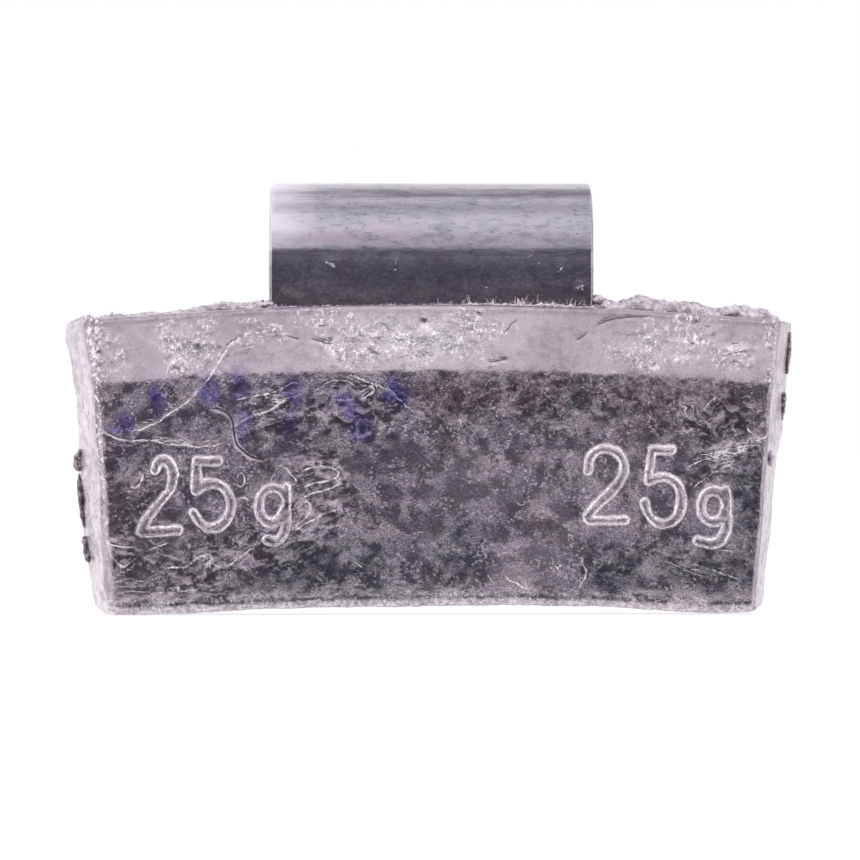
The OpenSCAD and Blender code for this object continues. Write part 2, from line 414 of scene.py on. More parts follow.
# Stains: (across, down, half-width, half-height, tilt in degrees, strength)
INK = [
    (123, 425, 12, 9, 30, 0.9), (156, 396, 9, 18, 10, 1.0), (207, 392, 10, 15, 20, 0.9),
    (241, 386, 10, 14, -10, 0.8), (243, 424, 9, 22, 0, 0.7), (294, 394, 10, 17, 0, 0.9),
    (350, 404, 10, 20, 35, 0.9), (361, 428, 12, 14, 0, 0.8), (397, 392, 15, 13, -45, 1.0),
    (290, 424, 9, 14, 0, 0.5),
]
BROWN = [
    (450, 396, 56, 22, 0, 0.95), (545, 392, 56, 20, 0, 0.9), (640, 396, 46, 22, 0, 0.85),
    (443, 438, 10, 26, 0, 0.8), (640, 428, 30, 14, 0, 0.7), (580, 396, 60, 16, 0, 0.7),
    (96, 406, 8, 26, 0, 0.6), (770, 410, 10, 26, 0, 0.7), (715, 392, 46, 14, 0, 0.7),
    (540, 528, 30, 10, -20, 0.6), (760, 385, 14, 12, 0, 0.6), (250, 440, 10, 12, 0, 0.5),
    (130, 500, 40, 14, 10, 0.6), (720, 425, 50, 12, 0, 0.5),
]
TEAL = [
    (345, 562, 62, 26, -8, 0.95), (300, 575, 40, 20, 0, 0.8), (458, 556, 26, 34, 0, 0.8),
    (612, 570, 32, 24, 0, 0.95), (746, 505, 20, 50, 0, 0.9), (720, 572, 56, 18, 0, 0.75),
    (570, 404, 14, 16, 0, 0.6), (250, 596, 60, 8, 0, 0.5), (398, 588, 60, 12, 0, 0.6),
    (690, 548, 40, 14, 0, 0.5),
]

# Oxide bloom that makes the face less of a mirror, then dull places, and pale places of the bevel
HAZE = [
    (535, 560, 48, 36, 0, 0.9), (550, 505, 22, 34, 0, 0.7), (430, 542, 24, 12, 0, 0.8),
    (300, 478, 74, 16, 10, 0.6), (150, 540, 34, 12, 0, 0.6), (440, 395, 60, 14, 0, 0.35),
    (545, 392, 40, 14, 0, 0.4), (620, 396, 40, 16, 0, 0.3), (690, 385, 34, 10, 0, 0.5),
    (190, 555, 34, 8, 0, 0.4), (430, 596, 340, 9, 0, 0.5), (610, 480, 60, 50, 0, 0.35),
    (470, 485, 70, 40, 0, 0.5), (420, 590, 70, 12, 0, 0.5), (130, 595, 40, 10, 0, 0.5),
]
DULL = [
    (112, 325, 22, 18, 0, 0.8), (240, 348, 22, 26, 0, 0.7), (292, 335, 30, 20, 0, 0.35),
    (565, 345, 34, 28, 0, 0.75), (680, 316, 90, 9, 0, 0.7), (745, 322, 40, 12, 0, 0.8),
    (590, 318, 30, 10, 0, 0.5), (145, 575, 70, 26, 0, 0.8), (130, 520, 40, 30, 0, 0.8),
    (320, 440, 60, 24, 0, 0.6), (250, 560, 60, 24, 0, 0.6),
    (755, 560, 24, 40, 0, 0.7), (750, 515, 26, 56, 0, 0.5), (316, 390, 30, 18, 0, 0.55),
    (615, 572, 40, 24, 0, 0.4), (700, 572, 60, 24, 0, 0.4),
]
PALE = [(415, 338, 92, 34, 0, 0.9), (650, 348, 40, 20, 0, 0.5)]


def spot_mask(x, z, across, down, wide, high, tilt, power=2.0):
    """1 at the middle of a tilted ellipse on the face, and soft to 0 outside it."""
    cx, cz = on_plane([(across, down)])[0]
    u, v = turned(x - cx, z - cz, tilt)
    return np.exp(-np.hypot(u / (wide * PIXEL_AT_AIM), v / (high * PIXEL_AT_AIM)) ** power)


def figures_height(x, z):
    """Height of the raised figures, and the distance from the middle of the nearest stroke."""
    p = on_face(x, z)
    shake = 0.045 * noise(p, 0.32, 61) + 0.045 * noise(p, 1.1, 62)
    nearest = np.full(x.shape, 9.0)
    for stroke in FIGURES:
        line = on_plane(stroke)
        if not any(stroke is s for s in SQUARE_STROKES):
            line = rounded(line, 3)
        nearest = np.minimum(nearest, line_distance(x, z, line)[0] + shake)
    half, slope = FIGURE_WIDTH / 2, FIGURE_SLOPE / 2
    flat_top = 1 - smooth(half - slope, half + slope, nearest)
    dome = np.clip(1 - (nearest / (half + slope)) ** 2, 0, 1) ** 0.7
    domed = 0.25 + 0.5 * smooth(4, 9, x)
    worn = 0.8 + 0.3 * noise(p, 0.4, 63) + 0.25 * noise(p, 1.6, 64)
    height = FIGURE_HEIGHT * (flat_top * (1 - domed) + dome * domed) * worn
    return height, nearest


LINE_REACH = 0.35          # distance from a crease at which its crisp line is forgotten
WIDEST_LINE = 0.2


def creases_height(x, z):
    """Height of the creases and grooves, and for the nearest crease and the nearest groove
    (signed distance, strength, half-width) as shares."""
    total = np.zeros(x.shape)
    nearest = np.full((2,) + x.shape, LINE_REACH)
    signed = nearest.copy()
    strength = np.zeros(nearest.shape)
    half_width = np.zeros(nearest.shape)
    p = on_face(x, z)
    wander_x = 0.07 * noise(p, 0.8, 71) + 0.05 * noise(p, 0.35, 72)
    wander_z = 0.07 * noise(p, 0.8, 73) + 0.05 * noise(p, 0.35, 74)
    uneven = np.clip(0.75 + 0.6 * noise(p, 0.5, 75), 0, 1.3)
    for height, wide, points in CREASES:
        line = rounded(on_plane(points), 3)
        gap, share, side = line_distance(x + wander_x, z + wander_z, line)
        taper = smooth(0, 0.12, share) * smooth(0, 0.12, 1 - share)
        across = gap * side
        if height > 0:
            step = smooth(-0.7 * wide, 0.7 * wide, across) * np.exp(-np.clip(across, 0, 9) / (3 * wide))
            total += 0.55 * height * step * (0.2 + 0.8 * taper) * uneven
            power = taper * np.clip(height / 0.1, 0, 1) * uneven
        else:
            groove = np.exp(-(gap / wide) ** 2) * (0.35 + 0.65 * taper)
            total += 0.5 * height * groove * uneven
            power = 0.3 + 0.7 * taper
        kind = int(height < 0)
        closer = gap < nearest[kind]
        nearest[kind] = np.where(closer, gap, nearest[kind])
        signed[kind] = np.where(closer, across, signed[kind])
        strength[kind] = np.where(closer, power, strength[kind])
        half_width[kind] = np.where(closer, wide * (0.3 + 0.7 * taper), half_width[kind])
    strength *= smooth(LINE_REACH, 0.6 * LINE_REACH, nearest)
    shares = np.stack([0.5 + 0.5 * signed / LINE_REACH, strength, half_width / WIDEST_LINE], -1)
    return total, shares[0], shares[1]


def pits_height(x, z):
    """Depth of the pits, as a height below 0."""
    total = np.zeros(x.shape)
    for across, down, radius, depth in PITS:
        cx, cz = on_plane([(across, down)])[0]
        total -= 0.7 * depth * np.exp(-(np.hypot(x - cx, z - cz) / radius) ** 4)
    return total


def patches_height(x, z):
    """Crumpled metal in patches, with its crests stretched along each patch's tilt."""
    total = np.zeros(x.shape)
    for k, (across, down, wide, high, tilt, height, stretch) in enumerate(PATCHES):
        mask = spot_mask(x, z, across, down, wide, high, 0, 3.0)
        u, v = turned(x, z, tilt)
        p = np.stack([u / stretch, 0 * u + 3.1 * k, v], -1)
        bend = 0.25 * noise(p, 0.9, 81)
        p = p + bend[..., None]
        total += 1.5 * mask * height * (creased(p, 0.6, 82, 2) - 0.45)
    return total


def crumple_share(x, z):
    """How crumpled the face is at each point, for the finest wrinkles of the material."""
    total = np.zeros(x.shape)
    x, z = ragged(x, z, 0.6)
    for across, down, wide, high, _, height, _ in PATCHES:
        total = np.maximum(total, spot_mask(x, z, across, down, wide, high, 0, 3.0) * height / 0.07)
    return np.clip(total, 0, 1)


def edge_gaps(x, z):
    """Distance of points on the face from the bevel's foot (positive on the bevel), and from the
    lower edge."""
    foot = np.hypot(x, z - WHEEL_AXIS_Z) - (OUTER_EDGE_R - BEVEL_HEIGHT)
    low = np.hypot(x, z - LOWER_CENTRE_Z) - LOWER_EDGE_R
    return foot, low


def face_relief(p):
    """Height of everything on the front face at points p, and the shares that the material needs
    for its finest marks: of the nearest crease, of the nearest groove, and of haze, of the
    painted shade along the top edge, and of the band."""
    x, z = p[..., 0], p[..., 2]
    flat = on_face(x, z)
    foot, low = edge_gaps(x, z)
    left = smooth(2, -12, x)
    relief = 0.030 * layered(flat, 4.5, 91, 2)
    relief += 0.012 * layered(flat * [1, 1, 1.3], 1.1, 93, 2)
    relief += (0.012 + 0.030 * left) * (creased(flat * [1.3, 1, 1], 0.9, 95, 2) - 0.4)
    relief += 0.016 * np.exp(-(foot / 0.3) ** 2) * layered(flat, 0.3, 97, 2)
    band = smooth(1.1, 0.45, low + 0.2 * noise(flat, 1.2, 98))
    relief += 0.085 * smooth(1.25, 0.3, low + 0.15 * noise(flat, 1.7, 89))
    relief += 0.055 * band * (creased(flat * [0.9, 1, 1.3], 0.5, 99, 2) - 0.4)
    figures, nearest = figures_height(x, z)
    creases, lines, grooves = creases_height(x, z)
    quiet = 1 - 0.7 * (1 - smooth(0.2, 0.5, nearest))
    relief += (creases + patches_height(x, z)) * quiet + pits_height(x, z)
    lines[..., 1] *= smooth(0.3, 0.45, nearest)
    lines[..., 2] = nearest
    # painted shade: darker along the top front edge and over the top
    seam = smooth(BEVEL_HEIGHT - 0.55, BEVEL_HEIGHT - 0.3, foot + 0.06 * noise(flat, 0.5, 90))
    haze = spots_share(*ragged(x, z, 0.6), HAZE, 3.0)
    marks = np.stack([haze, seam, band], -1)
    return relief + figures, lines, grooves, marks


def ragged(x, z, reach=0.35):
    """Points moved about by noise, so that what is drawn at them has a ragged outline."""
    p = on_face(x, z)
    return x + reach * layered(p, 2.3 * reach, 101, 3), z + reach * layered(p, 2.3 * reach, 105, 3)


def spots_share(x, z, spots, power=4.0):
    """Share of the strongest of the spots at each point."""
    total = np.zeros(x.shape)
    for *ellipse, strength in spots:
        total = np.maximum(total, strength * spot_mask(x, z, *ellipse, power))
    return total


def stain_colours(x, z):
    """Blue ink, brown and teal-black stains at each point of the face, as three shares."""
    at = ragged(x, z)
    return np.stack([spots_share(*at, spots) for spots in (INK, BROWN, TEAL)], -1)


# Casting

FACE_STEP = 0.131          # between the rows and the columns of the face
FIGURE_STEP = 0.080        # the same across the raised figures
# Columns and rows of the picture that the figures take up
FIGURE_COLUMNS = [(133, 300), (576, 738)]
FIGURE_ROWS = (440, 554)
SIDE_STEP = 0.26
BACK_STEP = 0.5
CORNER_STEP = 0.1
LEFT_ROUND = 0.50          # rounding where the ends meet the other faces
RIGHT_ROUND = 0.24
END_ROUND_STEPS = 5
# Rings of an end face shrink to a thin core: their steps, and the core's shares of the section
CAP_SHARES = [0.08, 0.18, 0.30, 0.43, 0.57, 0.72, 0.87, 1.0]
CORE_LENGTH = 0.92
CORE_WIDTH = 0.04
CORE_DEPTH = 0.5           # in mm, from the back face


def rounded_section():
    """Closed section of the casting as (radius, depth) points, with an arc at each corner. It runs
    from the lower back corner up the back, and down the front."""
    low_r = OUTER_EDGE_R - CASTING_HEIGHT
    foot_r = OUTER_EDGE_R - BEVEL_HEIGHT
    corners = np.array([
        [low_r, 0], [OUTER_EDGE_R, 0], [OUTER_EDGE_R, OUTER_EDGE_T],
        [foot_r, BEVEL_FOOT_T], [low_r, LOWER_EDGE_T],
    ])
    radii = [0.12, 0.12, 0.32, 0.8, 0.65]
    points = []
    for k, corner in enumerate(corners):
        before = corners[k - 1] - corner
        after = corners[(k + 1) % len(corners)] - corner
        before /= np.linalg.norm(before)
        after /= np.linalg.norm(after)
        half = math.acos(before @ after) / 2
        reach = radii[k] / math.tan(half)
        middle = before + after
        centre = corner + middle / np.linalg.norm(middle) * radii[k] / math.sin(half)
        start, end = corner + before * reach - centre, corner + after * reach - centre
        turn = math.pi - 2 * half
        for t in np.linspace(0, 1, 13):
            mix = math.sin((1 - t) * turn) * start + math.sin(t * turn) * end
            points.append(centre + mix / math.sin(turn))
    return np.array(points + [points[0]])


def section_steps(r, d):
    """Distance between the rows of points at each place of the section: closest on the figures."""
    step = np.where(d > 2.0, FACE_STEP, np.where(d > 0.3, SIDE_STEP, BACK_STEP))
    top, low = on_plane([(MIDDLE_COLUMN, row) for row in FIGURE_ROWS])[:, 1] - WHEEL_AXIS_Z
    step = np.where((d > 2.6) & (r > low) & (r < top + 0.35), FIGURE_STEP, step)
    end_gap = np.minimum(np.abs(r - (OUTER_EDGE_R - CASTING_HEIGHT)), np.abs(r - OUTER_EDGE_R))
    return np.where((d < 0.3) & (end_gap < 0.5), CORNER_STEP, step)


def section_outline():
    """Points of the section at those steps, as (radius, depth), and their outward normals."""
    dense = rounded_section()
    lengths = lengths_along(dense)
    fine = np.linspace(0, lengths[-1], 6000)
    r = np.interp(fine, lengths, dense[:, 0])
    d = np.interp(fine, lengths, dense[:, 1])
    at = spaced(fine, section_steps(r, d))[:-1]
    outline = np.stack([np.interp(at, fine, r), np.interp(at, fine, d)], -1)
    tangent = np.roll(outline, -1, axis=0) - np.roll(outline, 1, axis=0)
    normal = np.stack([-tangent[:, 1], tangent[:, 0]], -1)
    normal /= np.linalg.norm(normal, axis=1, keepdims=True)
    outward = np.sum(normal * (outline - outline.mean(axis=0)))
    return outline, normal if outward > 0 else -normal


def place(share, r, d):
    """Point at a share -1..1 of the casting's length, for a radius at mid-length and a depth.
    The radii shrink a little towards the ends, as the lower edge has its own centre."""
    drop = (OUTER_EDGE_R - r) / CASTING_HEIGHT
    offset = WHEEL_AXIS_Z - LOWER_CENTRE_Z
    radius = r
    for _ in range(3):
        angle = share * (END_ANGLE - np.arcsin(d * math.tan(END_DRAFT) / radius))
        low = np.sqrt(LOWER_EDGE_R ** 2 - (offset * np.sin(angle)) ** 2) - offset * np.cos(angle)
        radius = OUTER_EDGE_R - drop * (OUTER_EDGE_R - low)
    return np.stack([
        radius * np.sin(angle), BACK_Y - d + 0 * angle, WHEEL_AXIS_Z + radius * np.cos(angle),
    ], -1)


def casting_end(side, radius, outline, normal):
    """Rings at one end of the casting: round the rounding from the long faces to the end face, and
    then over the end face to its core."""
    ease = 0.2 + 0.8 * smooth(0.6, 2.4, outline[:, 1])
    rings = []
    for turn in reversed(np.linspace(0, math.pi / 2, END_ROUND_STEPS + 1)):
        gap = radius * (1 - math.cos(turn))
        inset = radius * (1 - math.sin(turn))
        r, d = (outline - normal * inset * ease[:, None]).T
        rings.append(place(side * (1 - gap * ease / HALF_FACE), r, d))
    rim = outline - normal * radius * ease[:, None]
    middle = np.array([OUTER_EDGE_R - CASTING_HEIGHT / 2, CORE_DEPTH])
    core = middle + [CORE_LENGTH, CORE_WIDTH] * (rim - middle)
    for share in CAP_SHARES:
        r, d = (rim + (core - rim) * share).T
        rings.append(place(side, r, d))
    return rings


def face_columns():
    """Places of the columns between the two roundings, closer together across the figures."""
    places = np.linspace(-HALF_FACE + LEFT_ROUND, HALF_FACE - RIGHT_ROUND, 8000)
    step = np.full(places.shape, FACE_STEP)
    for columns in FIGURE_COLUMNS:
        first, last = on_plane([(column, MIDDLE_ROW) for column in columns])[:, 0]
        step[(places > first) & (places < last)] = FIGURE_STEP
    return spaced(places, step)[1:-1]


def casting_grid():
    """Rings of points along the casting, from its left end to its right one, and the depth behind
    the back face's plane of each point of a ring."""
    outline, normal = section_outline()
    r, d = outline.T
    rings = casting_end(-1, LEFT_ROUND, outline, normal)[::-1]
    rings += [place(x / HALF_FACE, r, d) for x in face_columns()]
    rings += casting_end(1, RIGHT_ROUND, outline, normal)
    return np.array(rings), d


def casting_normals(grid):
    """Outward normals of the casting. All those of an end face are the same."""
    caps = len(CAP_SHARES)
    normals = grid_normals(grid, len(grid) // 2)
    for end in (slice(0, caps), slice(-caps, None)):
        lean = normals[end].mean(axis=(0, 1))
        normals[end] = lean / np.linalg.norm(lean)
    return normals


def shape_casting(grid, depths):
    """Displaces the plain casting by the relief of its face and by the roughness of the rest, and
    gives the layers of shares that its material reads."""
    x, y, z = grid[..., 0], grid[..., 1], grid[..., 2]
    normals = casting_normals(grid)
    on_cap = np.zeros((len(grid), 1))
    caps = len(CAP_SHARES) + 2
    on_cap[:caps] = 1
    on_cap[-caps:] = 1
    facing = np.clip(-normals[..., 1], 0, 1)
    front = np.tile(smooth(1.9, 2.5, depths), (len(grid), 1)) * facing ** 0.5 * (1 - on_cap)
    relief, lines, grooves, marks = face_relief(grid)
    lines[..., 1] *= front
    lines[..., 2] += 1 - front
    grooves[..., 1] *= front
    marks[..., 0] *= front
    rough = 0.016 * layered(grid, 0.8, 111, 3) + 0.03 * layered(grid, 3.5, 115, 2)
    ends = smooth(18.4, 20.0, np.abs(x))
    left = smooth(-18.6, -19.3, x)
    grainy = (0.022 * ends + 0.030 * left) * layered(grid, 0.34, 117, 2) * (1 - on_cap)
    shaped = grid + normals * (relief * front + rough * (1 - front) + grainy)[..., None]
    crumpled = np.maximum(crumple_share(x, z) * front, 0.8 * ends * (1 - on_cap))
    bevel = smooth(-0.15, 0.15, edge_gaps(x, z)[0]) * front
    at = ragged(x, z, 0.6)
    dull = spots_share(*at, DULL, 3.0) * front
    pale = spots_share(*at, PALE, 3.0) * bevel
    granular = left * (1 - on_cap) * smooth(-3.6, -4.4, y)
    return shaped, {
        "stains": stain_colours(x, z) * front[..., None],
        "wear": np.stack([crumpled, on_cap + 0 * front, bevel], -1),
        "lines": lines, "grooves": grooves, "marks": marks,
        "shades": np.stack([dull, pale, granular], -1),
    }


# Unevenness of the outline: how far it bulges out, in pixels, at rows of the picture
LEFT_BULGE = [
    (312, -9), (318, -3), (324, 1.5), (332, 4.5), (342, 5.5), (350, 4), (364, 2), (396, 1),
    (432, 0), (456, 3.5), (480, 6), (504, 6), (530, 5), (552, 4.5), (576, 3.5), (600, 2.5),
    (613, -1),
]
RIGHT_BULGE = [
    (320, 0), (336, 1.4), (372, 1.7), (396, 1), (432, 1), (450, -1), (500, -1.7), (534, -0.6),
    (570, -1.4), (600, -0.7), (613, -2),
]
LIFTED_CORNER_X = -20.0    # of the left outer corner, which stands a little higher
# Row of the lower edge at columns of the picture
LOWER_EDGE = [
    (98, 610), (104, 613), (112, 615), (144, 615), (176, 613.5), (208, 612), (256, 609), (304, 608),
    (352, 607), (416, 607), (432, 606), (480, 606), (496, 605), (528, 605), (560, 606), (592, 606),
    (608, 607), (640, 609), (672, 611), (704, 613), (736, 612), (752, 611), (758, 610), (764, 607),
]


LOWER_EDGE_Y = BACK_Y - 2.2
# Bulge of the front edge of each end at its top and at its foot, in pixels
END_EDGES = [(-1, LEFT_BULGE, -3.3, 3.0), (1, RIGHT_BULGE, 0, 3.0)]


def lower_edge_shift(grid):
    """The lower edge wanders as the photograph shows, and finely besides. The left outer corner is
    lifted."""
    x, y, z = grid[..., 0], grid[..., 1], grid[..., 2]
    places = on_plane(LOWER_EDGE, LOWER_EDGE_Y)
    arc = LOWER_CENTRE_Z + np.sqrt(LOWER_EDGE_R ** 2 - places[:, 0] ** 2)
    wave = np.interp(x, places[:, 0], places[:, 1] - arc)
    line = np.stack([x, 0 * x, 0 * x], -1)
    wave += 0.02 * noise(line, 0.7, 122) + 0.015 * noise(grid, 0.35, 123)
    shifted = z + smooth(-17.0, -20.4, z) * wave
    corner = np.exp(-((x - LIFTED_CORNER_X) / 0.6) ** 2) * smooth(-5.6, -4.4, z)
    return shifted + (0.26 + 0.12 * noise(grid, 0.4, 126)) * corner


def edge_shift(grid):
    """The casting with its lower edge and the edges of its ends moved as the photograph shows."""
    x, y, z = grid[..., 0], grid[..., 1], grid[..., 2]
    shifted = grid.copy()
    shifted[..., 2] = lower_edge_shift(grid)
    tall = np.stack([0 * z, 0 * z, z], -1)
    fine = 0.03 * noise(tall, 1.3, 124) + 0.035 * noise(grid, 0.6, 125)
    behind = np.clip((y + 5.6) / 2.8, 0, 1)
    for sign, bulge, front_top, front_low in END_EDGES:
        rows = on_plane([(MIDDLE_COLUMN, row) for row, _ in bulge], BACK_Y)[:, 1][::-1]
        reach = np.array([out for _, out in bulge])[::-1] * PIXEL_AT_AIM
        share = np.clip((z - CASTING_LOW_Z) / CASTING_HEIGHT, 0, 1)
        front = (front_low + (front_top - front_low) * share) * PIXEL_AT_AIM
        out = behind * np.interp(z, rows, reach) + (1 - behind) * front + fine
        end_gap = HALF_LENGTH * (z - WHEEL_AXIS_Z) / OUTER_EDGE_R - x * sign
        shifted[..., 0] += sign * smooth(2.2, 0.3, end_gap) * out
    return shifted


def make_casting():
    """The whole lead casting but its flash, fringe, lumps and burrs."""
    grid, depths = casting_grid()
    shaped, layers = shape_casting(edge_shift(grid), depths)
    return tube_mesh("casting_body", [shaped], True, **layers)


# Flash, fringe, hairs, lumps and burrs of lead

def plain_lead(name, grids, brown=0.0, pale=0.0, crumpled=0.6):
    """Piece of lead with no creases, far from any figure: as brown, pale or crumpled as given."""
    none = np.zeros((sum(grid.size // 3 for grid in grids), 3))
    return tube_mesh(
        name, grids, stains=none + [0.0, brown, 0.0], wear=none + [crumpled, 0.0, 0.0],
        lines=none + [1.0, 0.0, 1.0], grooves=none + [1.0, 0.0, 0.0],
        marks=none + [0.0, 0.0, 0.8], shades=none + [0.0, pale, 0.0],
    )


def lumpy_ridge(name, path, heights, half_t, root, seed, lump=0.12, cell=0.4, spikes=0.0):
    """Closed ridge of lead along a path of (x, y, z) points: it stands up by the heights, and is
    rooted in the casting below the path."""
    path = np.asarray(path, float)
    heights = np.asarray(heights, float)
    lengths = lengths_along(path)
    at = np.arange(0, lengths[-1], 0.09 if spikes == 0 else 0.045)
    centre = np.stack([np.interp(at, lengths, path[:, k]) for k in range(3)], -1)
    rise = np.interp(at, lengths, heights)
    rise = rise * (1 - 0.6 * spikes + spikes * 2.4 * creased(centre * [1, 0, 0], 0.3, seed + 11, 2) ** 4)
    taper = np.sqrt(np.clip(np.minimum(at, at[-1] - at) / 0.35, 0.0025, 1))
    turn = np.linspace(0, 2 * math.pi, 18, endpoint=False)
    up = np.sin(turn)
    lift = np.where(up > 0, up * rise[:, None], up * root) * taper[:, None]
    wide = half_t * np.cos(turn) * taper[:, None]
    grid = np.repeat(centre[:, None, :], len(turn), axis=1)
    grid[..., 1] += wide
    grid[..., 2] += lift
    bumps = lump * taper[:, None] * (creased(grid, cell, seed, 2) - 0.35) * (0.35 + 0.65 * (up > 0))
    grid[..., 1] += np.cos(turn) * bumps
    grid[..., 2] += np.where(up > 0, up, 0) * bumps * 1.4
    grid[..., 0] += 0.5 * lump * noise(grid, cell, seed + 7) * taper[:, None]
    return plain_lead(name, [grid])


def outer_edge_z(x):
    """Height of the casting's outer edge at a place along it."""
    return WHEEL_AXIS_Z + np.sqrt(OUTER_EDGE_R ** 2 - np.asarray(x, float) ** 2)


# Crest of the flash by photograph pixel (across, down), to the left and to the right of the clip
LEFT_FLASH = [
    (98, 315), (112, 313), (128, 315), (150, 313), (170, 312), (192, 308), (210, 304), (224, 302),
    (240, 303), (252, 300), (262, 299), (270, 302),
]
RIGHT_FLASH = [
    (588, 299), (596, 294), (604, 297), (615, 301), (628, 299), (640, 295), (652, 297), (664, 300),
    (676, 301), (688, 301), (700, 304), (712, 308), (724, 307), (736, 304), (748, 306), (760, 308),
    (772, 313), (782, 317),
]
FLASH_Y = -3.65
FRINGE_Y = -4.2
HAIRS_Y = -4.13
# Height of the fringe at places across the clip's foot: (across pixel, height in mm)
FRINGE = [
    (262, 0.30), (272, 0.42), (285, 0.22), (300, 0.14), (330, 0.16), (352, 0.12), (380, 0.14),
    (405, 0.12), (430, 0.20), (450, 0.24), (470, 0.30), (490, 0.42), (505, 0.36), (520, 0.50),
    (535, 0.46), (548, 0.62), (560, 0.50), (572, 0.40), (584, 0.36), (592, 0.50), (598, 0.30),
]


def make_flash(name, crest_pixels, seed):
    """Ragged ridge that the mould's halves left along the outer edge."""
    crest = on_plane(crest_pixels, FLASH_Y)
    base = outer_edge_z(crest[:, 0])
    path = np.stack([crest[:, 0], np.full(len(crest), FLASH_Y), base], -1)
    heights = np.maximum(crest[:, 1] - base, 0.05)
    return lumpy_ridge(name, path, heights, 0.45, 0.3, seed, lump=0.2, cell=0.5)


def make_fringe():
    """Fringe of lead that climbs the foot of the clip."""
    pixels = [(across, FOOT_ROW) for across, _ in FRINGE]
    x = on_plane(pixels, FRINGE_Y)[:, 0]
    path = np.stack([x, np.full(len(x), FRINGE_Y), outer_edge_z(x)], -1)
    return lumpy_ridge(
        "clip_fringe", path, [h for _, h in FRINGE], 0.14, 0.3, 141, lump=0.12, cell=0.2, spikes=1.0
    )


# Stretches of the clip's foot with hairs of lead: (first and last column, hairs, longest in mm)
HAIRS = [(268, 300, 8, 0.22), (330, 440, 22, 0.16), (438, 470, 14, 0.42), (468, 520, 30, 0.60),
         (515, 545, 24, 0.75), (540, 592, 34, 0.80)]


def make_hairs():
    """Fine curled hairs of lead that cling to the foot of the clip."""
    rng = np.random.default_rng(171)
    grids = []
    turn = np.linspace(0, 2 * math.pi, 6, endpoint=False)
    share = np.linspace(0, 1, 7)[:, None]
    for first, last, count, longest in HAIRS:
        for column in rng.uniform(first, last, count):
            x = on_plane([(column, FOOT_ROW)], CLIP_FRONT_Y)[0, 0]
            length = longest * rng.uniform(0.25, 1.0) ** 1.6
            lean, curl = rng.uniform(-0.9, 0.9), rng.uniform(-1.4, 1.4)
            angle = lean + curl * share
            run = length * np.cumsum(np.hstack([np.sin(angle), np.cos(angle)]), axis=0) / len(share)
            out = HAIRS_Y - 0.12 * share * rng.uniform(0, 1)
            thick = rng.uniform(0.035, 0.06) * (1 - 0.75 * share)
            grids.append(np.stack([
                x + run[:, :1] + thick * np.cos(turn), out + thick * np.sin(turn),
                outer_edge_z(x) + 0.05 + run[:, 1:] + 0 * turn,
            ], -1))
    return plain_lead("fringe_hairs", grids, pale=0.6)


def blob(name, centre, radii, seed, lump=0.1, cell=0.4):
    """Small closed lump of lead, painted lighter as a painted highlight."""
    turn = np.linspace(0, 2 * math.pi, 28, endpoint=False)
    rise = np.linspace(-math.pi / 2 + 0.12, math.pi / 2 - 0.12, 18)
    ring, around = np.meshgrid(rise, turn, indexing="ij")
    unit = np.stack([np.sin(ring), np.cos(ring) * np.cos(around), np.cos(ring) * np.sin(around)], -1)
    grid = np.asarray(centre) + unit * np.asarray(radii)
    swell = lump * layered(grid, cell, seed, 2)
    # pale lifts the lump towards LEAD_BRIGHT: a painted highlight
    return plain_lead(name, [grid + unit * swell[..., None]], pale=0.7)


# Lumps at the clip's feet and on the right end: (name, pixel, radii, y, swell)
LUMPS = [
    ("foot_lump_right", (598, 300), (0.34, 0.5, 0.36), -3.9, 0.10),
    ("foot_lump_left", (268, 305), (0.40, 0.5, 0.28), -3.9, 0.10),
    ("edge_lump_right", (771, 458), (0.26, 0.6, 0.46), -4.8, 0.06),
]


def make_lumps():
    """One lump of lead for each row of the table."""
    made = []
    for k, (name, pixel, radii, y, lump) in enumerate(LUMPS):
        x, z = on_plane([pixel], y)[0]
        made.append(blob(name, (x, y, z), radii, 151 + 5 * k, lump))
    return made


# Burrs on the back edges: (name, side, first and last row of the picture, reach in mm)
BURRS = [
    ("burr_left_top", -1, 449, 471, 0.22),
    ("burr_left_middle", -1, 474, 528, 0.10),
    ("burr_left_low", -1, 536, 562, 0.16),
    ("burr_right_top", 1, 332, 374, 0.06),
    ("burr_right_low", 1, 392, 420, 0.08),
]


def make_burrs():
    """Burrs that cling to the back edges of the two ends, painted near black: partly their own dark
    lead, partly painted shadow along the back edge.
    """
    made = []
    turn = np.linspace(0, 2 * math.pi, 14, endpoint=False)
    for k, (name, sign, first, last, reach) in enumerate(BURRS):
        table = LEFT_BULGE if sign < 0 else RIGHT_BULGE
        rings = []
        for row in np.linspace(first, last, int((last - first) * 0.7)):
            z = on_plane([(MIDDLE_COLUMN, row)], BACK_Y)[0, 1]
            out = np.interp(row, [r for r, _ in table], [v for _, v in table]) * PIXEL_AT_AIM
            edge = math.tan(END_ANGLE) * (z - WHEEL_AXIS_Z) + out - 0.08
            share = (row - first) / (last - first)
            size = max(0.06, math.sin(math.pi * share)) ** 0.3
            rings.append(np.stack([
                sign * (edge + (reach + 0.08) * size * np.cos(turn)),
                BACK_Y - 0.22 + (0.2 + 0.5 * reach) * size * np.sin(turn), z + 0 * turn,
            ], -1))
        grid = np.array(rings)
        swell = 0.6 * reach * layered(grid, 0.35, 181 + 3 * k, 2)
        outward = grid - grid.mean(axis=1, keepdims=True)
        outward /= np.maximum(np.linalg.norm(outward, axis=2, keepdims=True), 1e-9)
        # brown=1.0 paints the burr near black: partly its own dark lead, partly painted shadow along the
        # back edge
        made.append(plain_lead(name, [grid + outward * swell[..., None]], brown=1.0, crumpled=0.1))
    return made


# Clip

def straight_run(start, length, count):
    """Places along a straight stretch that goes on from a place of the clip's path."""
    y, z, a = start
    return [(y + math.sin(a) * t, z - math.cos(a) * t, a) for t in np.linspace(0, length, count)[1:]]


